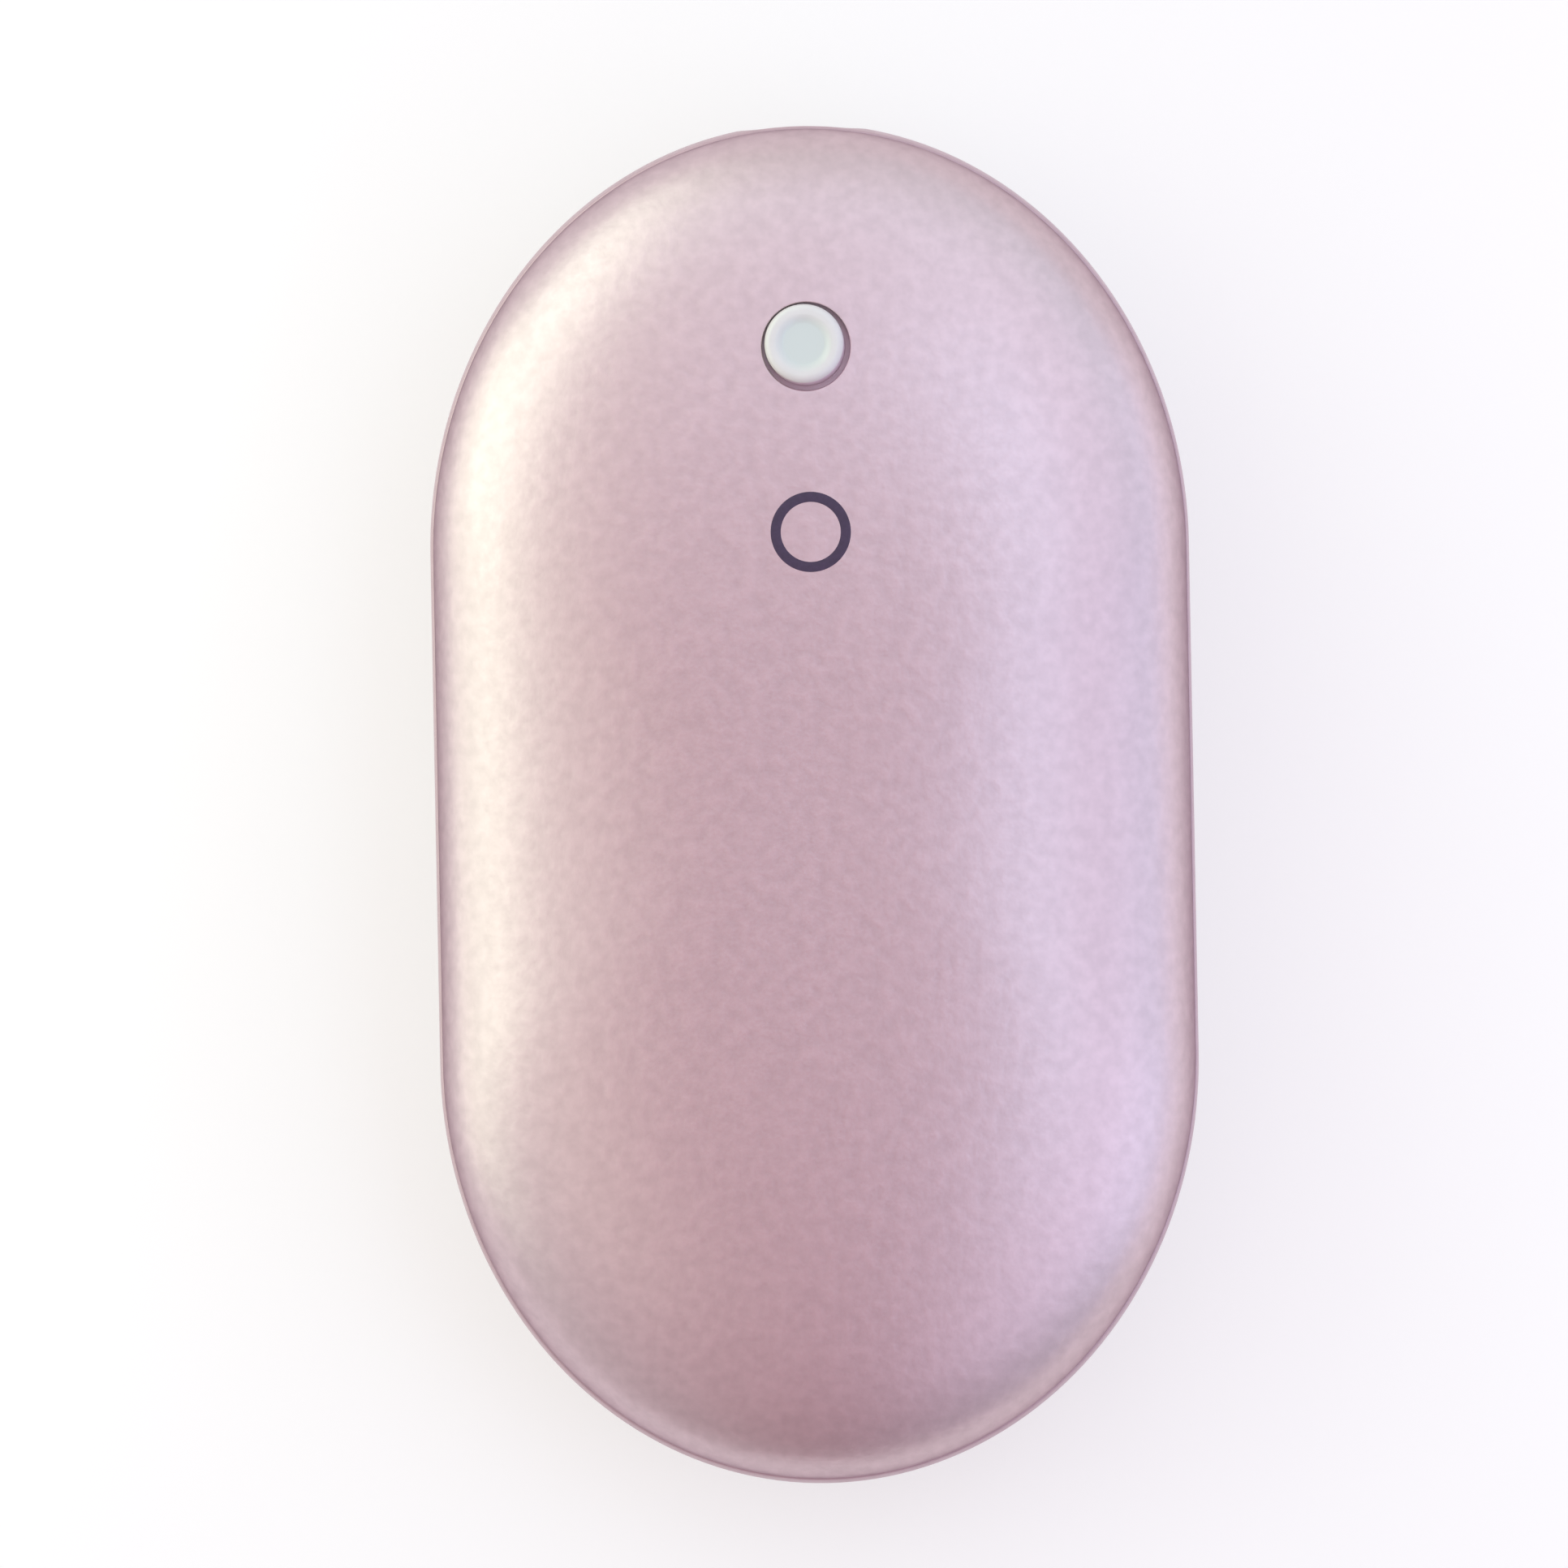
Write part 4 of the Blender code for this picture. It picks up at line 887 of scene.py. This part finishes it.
def button_finish():
    """Glossy white plastic, greener and darker in the dish as painted shade, and painted pale rose on
    the flange as the light in the gap round the cap.
    """
    made, tree, shader = start_finish("button_plastic", Coat_Weight=0.5)
    across = compute(tree, "SUBTRACT", axis_of(tree, 0), CAP_SHIFT[0])
    along = compute(tree, "SUBTRACT", axis_of(tree, 1), BUTTON_Y + CAP_SHIFT[1])
    across_squared = compute(tree, "MULTIPLY", across, across)
    along_squared = compute(tree, "MULTIPLY", along, along)
    out = compute(tree, "SQRT", compute(tree, "ADD", across_squared, along_squared))
    rim = ranged(tree, out, 0, 1, DISH_BLEND * DISH_RADIUS, DISH_RADIUS)
    # the flange below the cap's side takes painted rose light for the gap round the cap
    flange = ranged(tree, out, 0, 1, CAP_RADIUS, CAP_RADIUS + EDGE_ROUND / 2)
    pattern = noise(tree, CAP_PATCH, detail=3)
    whites = patchy(tree, pattern, CAP_COLOUR, CAP_SPREAD)
    # painted shade in the dish, fading out towards the lighter rim
    top = mixed(tree, rim, (*DISH_PAINTED_SHADE, 1), whites)
    feed(tree, shader.inputs["Base Color"], mixed(tree, flange, top, (*FLANGE_PAINTED_GAP_LIGHT, 1)))
    feed(tree, shader.inputs["Roughness"], ranged(tree, noise(tree, CAP_WEAR), *CAP_ROUGHNESS))
    uneven(tree, shader, (CAP_HEIGHT, pattern))
    return made


def foam():
    """Dark closed-cell foam, painted darker in each cell's hollow as shade and paler on its walls."""
    made, tree, shader = start_finish("foam_cells")
    cells = tree.nodes.new("ShaderNodeTexVoronoi")
    cells.inputs["Scale"].default_value = 1 / FOAM_CELL
    tree.links.new(place_on(tree), cells.inputs["Vector"])
    pattern = cells.outputs["Distance"]
    share = ranged(tree, pattern, 0, 1, 0, FOAM_WALL)
    # painted shade in the cells' hollows, paler towards their walls
    feed(tree, shader.inputs["Base Color"], mixed(tree, share, (*FOAM_HOLLOW_SHADE, 1), (*FOAM_WALL_LIGHT, 1)))
    feed(tree, shader.inputs["Roughness"], ranged(tree, noise(tree, FOAM_WEAR), *FOAM_ROUGHNESS))
    uneven(tree, shader, (FOAM_HEIGHT, pattern))
    return made


def band_finish():
    return finish(
        "band_plastic", BAND_COLOUR, roughness=0.42,
        patch=0.0006, spread=0.04, height=0.000006, Metallic=0.5,
    )


def mark_ink():
    return finish("mark_ink", INK_COLOUR, roughness=0.5, patch=0.0002, spread=0.12, height=0.000002)


def socket_steel():
    return finish(
        "socket_steel", STEEL_COLOUR, roughness=0.26,
        patch=0.0004, spread=0.05, height=0.000001, stretch=(1, 8, 1), Metallic=1,
    )


def socket_plastic():
    return finish(
        "socket_plastic", (0.03, 0.03, 0.03), roughness=0.45,
        patch=0.0003, spread=0.15, height=0.000003,
    )


def contact_gold():
    return finish(
        "contact_gold", (0.83, 0.60, 0.24), roughness=0.25,
        patch=0.0002, spread=0.06, height=0.0000005, stretch=(1, 6, 1), Metallic=1,
    )


def dress(names, material):
    """Gives nodes that the frame still shows their finish."""
    for name in names:
        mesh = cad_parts[name].data
        mesh.materials.clear()
        mesh.materials.append(material)


def dress_cells():
    """The cells' wraps, the strips across their ends and the brackets that hold them."""
    wrap = finish(
        "blue_wrap", (0.05, 0.22, 0.42), roughness=0.32,
        patch=0.004, spread=0.1, height=0.00003, stretch=(1, 4, 1), Coat_Weight=0.3,
    )
    nickel = finish(
        "plain_nickel", (0.66, 0.63, 0.58), roughness=0.3,
        patch=0.0002, spread=0.06, height=0.000001, stretch=(12, 1, 1), Metallic=1,
    )
    plastic = finish(
        "bracket_plastic", (0.035, 0.035, 0.037), roughness=0.5,
        patch=0.0005, spread=0.12, height=0.000006,
    )
    dress(["cell_left", "cell_right"], wrap)
    dress(["nickel_strip_front", "nickel_strip_rear"], nickel)
    dress(["cell_bracket_front", "cell_bracket_rear"], plastic)


def dress_steel():
    """The screws and the switch's can."""
    steel = finish(
        "bright_steel", STEEL_COLOUR, roughness=0.24,
        patch=0.0003, spread=0.05, height=0.000001, stretch=(1, 1, 6), Metallic=1,
    )
    dress(SCREWS + ["switch_body"], steel)


def dress_board():
    """The board with its tracks, its chips, the switch's plunger and the light."""
    board = striped(
        "solder_mask", (0.02, 0.16, 0.08), (0.05, 0.26, 0.13), roughness=0.3,
        pitch=0.0011, share=0.45, height=0.00002,
    )
    epoxy = finish(
        "chip_epoxy", (0.03, 0.03, 0.032), roughness=0.42,
        patch=0.00015, spread=0.2, height=0.000003,
    )
    plunger = finish(
        "plunger_plastic", (0.05, 0.05, 0.05), roughness=0.35,
        patch=0.0003, spread=0.1, height=0.000002,
    )
    resin = finish(
        "led_resin", (0.85, 0.84, 0.70), roughness=0.15,
        patch=0.0004, spread=0.05, height=0.000001, Coat_Weight=0.5,
    )
    dress(["main_board"], board)
    dress(["charger_chip", "control_chip", "heater_transistor"], epoxy)
    dress(["switch_plunger"], plunger)
    dress(["status_led"], resin)


def dress_heaters():
    """The heater films with their tracks, and the bead of the sensor."""
    film = striped(
        "amber_film", (0.55, 0.28, 0.06), (0.30, 0.13, 0.04), roughness=0.25,
        pitch=0.0030, share=0.4, height=0.00002,
    )
    bead = finish(
        "thermistor_bead", (0.06, 0.05, 0.045), roughness=0.25,
        patch=0.0005, spread=0.15, height=0.000003, Coat_Weight=0.5,
    )
    dress(["heater_film_top", "heater_film_bottom"], film)
    dress(["thermistor"], bead)


def dress_leads():
    """The leads' silicone: a red and a black pair, and a white one at the sensor."""
    for name, colour, spread, leads in (
        ("red_silicone", (0.55, 0.02, 0.02), 0.08, ["battery_lead_positive", "heater_lead_top"]),
        ("black_silicone", (0.02, 0.02, 0.02), 0.15, ["battery_lead_negative", "heater_lead_bottom"]),
        ("white_silicone", (0.75, 0.75, 0.72), 0.04, ["thermistor_lead"]),
    ):
        sleeve = finish(name, colour, roughness=0.45, patch=0.0004, spread=spread, height=0.000004)
        dress(leads, sleeve)


def whiten(tree, shader):
    """Mixes plain white into what the camera, gloss and glass see of it, and keeps its shadows."""
    path = tree.nodes.new("ShaderNodeLightPath")
    seen = path.outputs["Is Camera Ray"]
    for kind in ("Is Glossy Ray", "Is Transmission Ray"):
        seen = compute(tree, "MAXIMUM", seen, path.outputs[kind])
    white = tree.nodes.new("ShaderNodeEmission")
    both = tree.nodes.new("ShaderNodeMixShader")
    feed(tree, both.inputs["Fac"], compute(tree, "MULTIPLY", seen, FLOOR_WHITE))
    tree.links.new(shader.outputs["BSDF"], both.inputs[1])
    tree.links.new(white.outputs["Emission"], both.inputs[2])
    tree.links.new(both.outputs["Shader"], tree.nodes["Material Output"].inputs["Surface"])


def make_floor():
    """A wide, pale floor under the warmer."""
    bm = bmesh.new()
    bmesh.ops.create_circle(bm, cap_ends=True, radius=FLOOR_RADIUS, segments=FLOOR_SEGMENTS)
    mesh = bpy.data.meshes.new("floor")
    bm.to_mesh(mesh)
    bm.free()
    floor = add_object("floor", mesh)
    made, tree, shader = start_finish("floor_white", Roughness=1, Specular_IOR_Level=0)
    colours = patchy(tree, noise(tree, FLOOR_PATCH), FLOOR_COLOUR, FLOOR_SPREAD)
    feed(tree, shader.inputs["Base Color"], colours)
    whiten(tree, shader)
    mesh.materials.append(made)


def lit(level, tint):
    """A tint of light at a brightness, as a colour."""
    return (*(level * t for t in tint), 1)


def make_world():
    """A pale room, lighter overhead, to the front and at the sides, and plain at the horizon."""
    world = bpy.data.worlds.new("room")
    bpy.context.scene.world = world
    world.use_nodes = True
    tree = world.node_tree
    place = tree.nodes.new("ShaderNodeTexCoord")
    parts = tree.nodes.new("ShaderNodeSeparateXYZ")
    tree.links.new(place.outputs["Generated"], parts.inputs[0])
    total = lit(*ROOM_LIGHT)
    for axis, end, level, tint in ROOM_LIGHTS:
        toward = compute(tree, "MULTIPLY", parts.outputs[axis], end)
        total = mixed(tree, compute(tree, "MAXIMUM", toward, 0), total, lit(level, tint), "ADD")
    rise = ranged(tree, parts.outputs[2], 0, 1, *HORIZON)
    feed(tree, tree.nodes["Background"].inputs["Color"], mixed(tree, rise, lit(*HORIZON_LIGHT), total))


def make_lamps():
    """Softboxes of an even brightness, where 1 is white, turned to the object."""
    for name, azimuth, elevation, distance, width, height, level, tint in LAMPS:
        around = math.radians(azimuth)
        up = math.radians(elevation)
        away = Vector((math.cos(around) * math.cos(up), math.sin(around) * math.cos(up), math.sin(up)))
        data = bpy.data.lights.new(name, "AREA")
        data.shape = "RECTANGLE"
        data.size = width
        data.size_y = height
        data.energy = math.pi * width * height * level
        data.color = tint
        lamp = add_object(name, data)
        lamp.location = away * distance
        lamp.rotation_mode = "QUATERNION"
        lamp.rotation_quaternion = away.to_track_quat("Z", "Y")
        lamp.visible_camera = False


def make_camera():
    """A camera straight above, framed and rolled as the photo is."""
    data = bpy.data.cameras.new("camera")
    data.lens = LENS
    data.sensor_width = SENSOR
    distance = PHOTO_PIXELS * PIXEL * LENS / SENSOR
    data.clip_end = VIEW_DEPTH * distance
    camera = add_object("camera", data)
    camera.location = (*VIEW_CENTRE, MIDDLE_Z + distance)
    camera.rotation_euler = (0, 0, -VIEW_ROLL)
    bpy.context.scene.camera = camera


make_camera()
make_floor()
make_world()
make_lamps()
shell_finish = anodised()
make_top_shell(shell_finish)
make_bottom_shell(shell_finish)
make_frame(band_finish())
make_button(button_finish())
make_mark(mark_ink())
make_socket_shell(socket_steel())
make_socket_tongue(socket_plastic())
make_contacts(contact_gold())
pad_foam = foam()
make_pad("foam_pad_soft_top", "foam_pad_top", 1, pad_foam)
make_pad("foam_pad_soft_bottom", "foam_pad_bottom", -1, pad_foam)
dress_cells()
dress_steel()
dress_board()
dress_heaters()
dress_leads()
bpy.context.scene.view_settings.view_transform = "Standard"
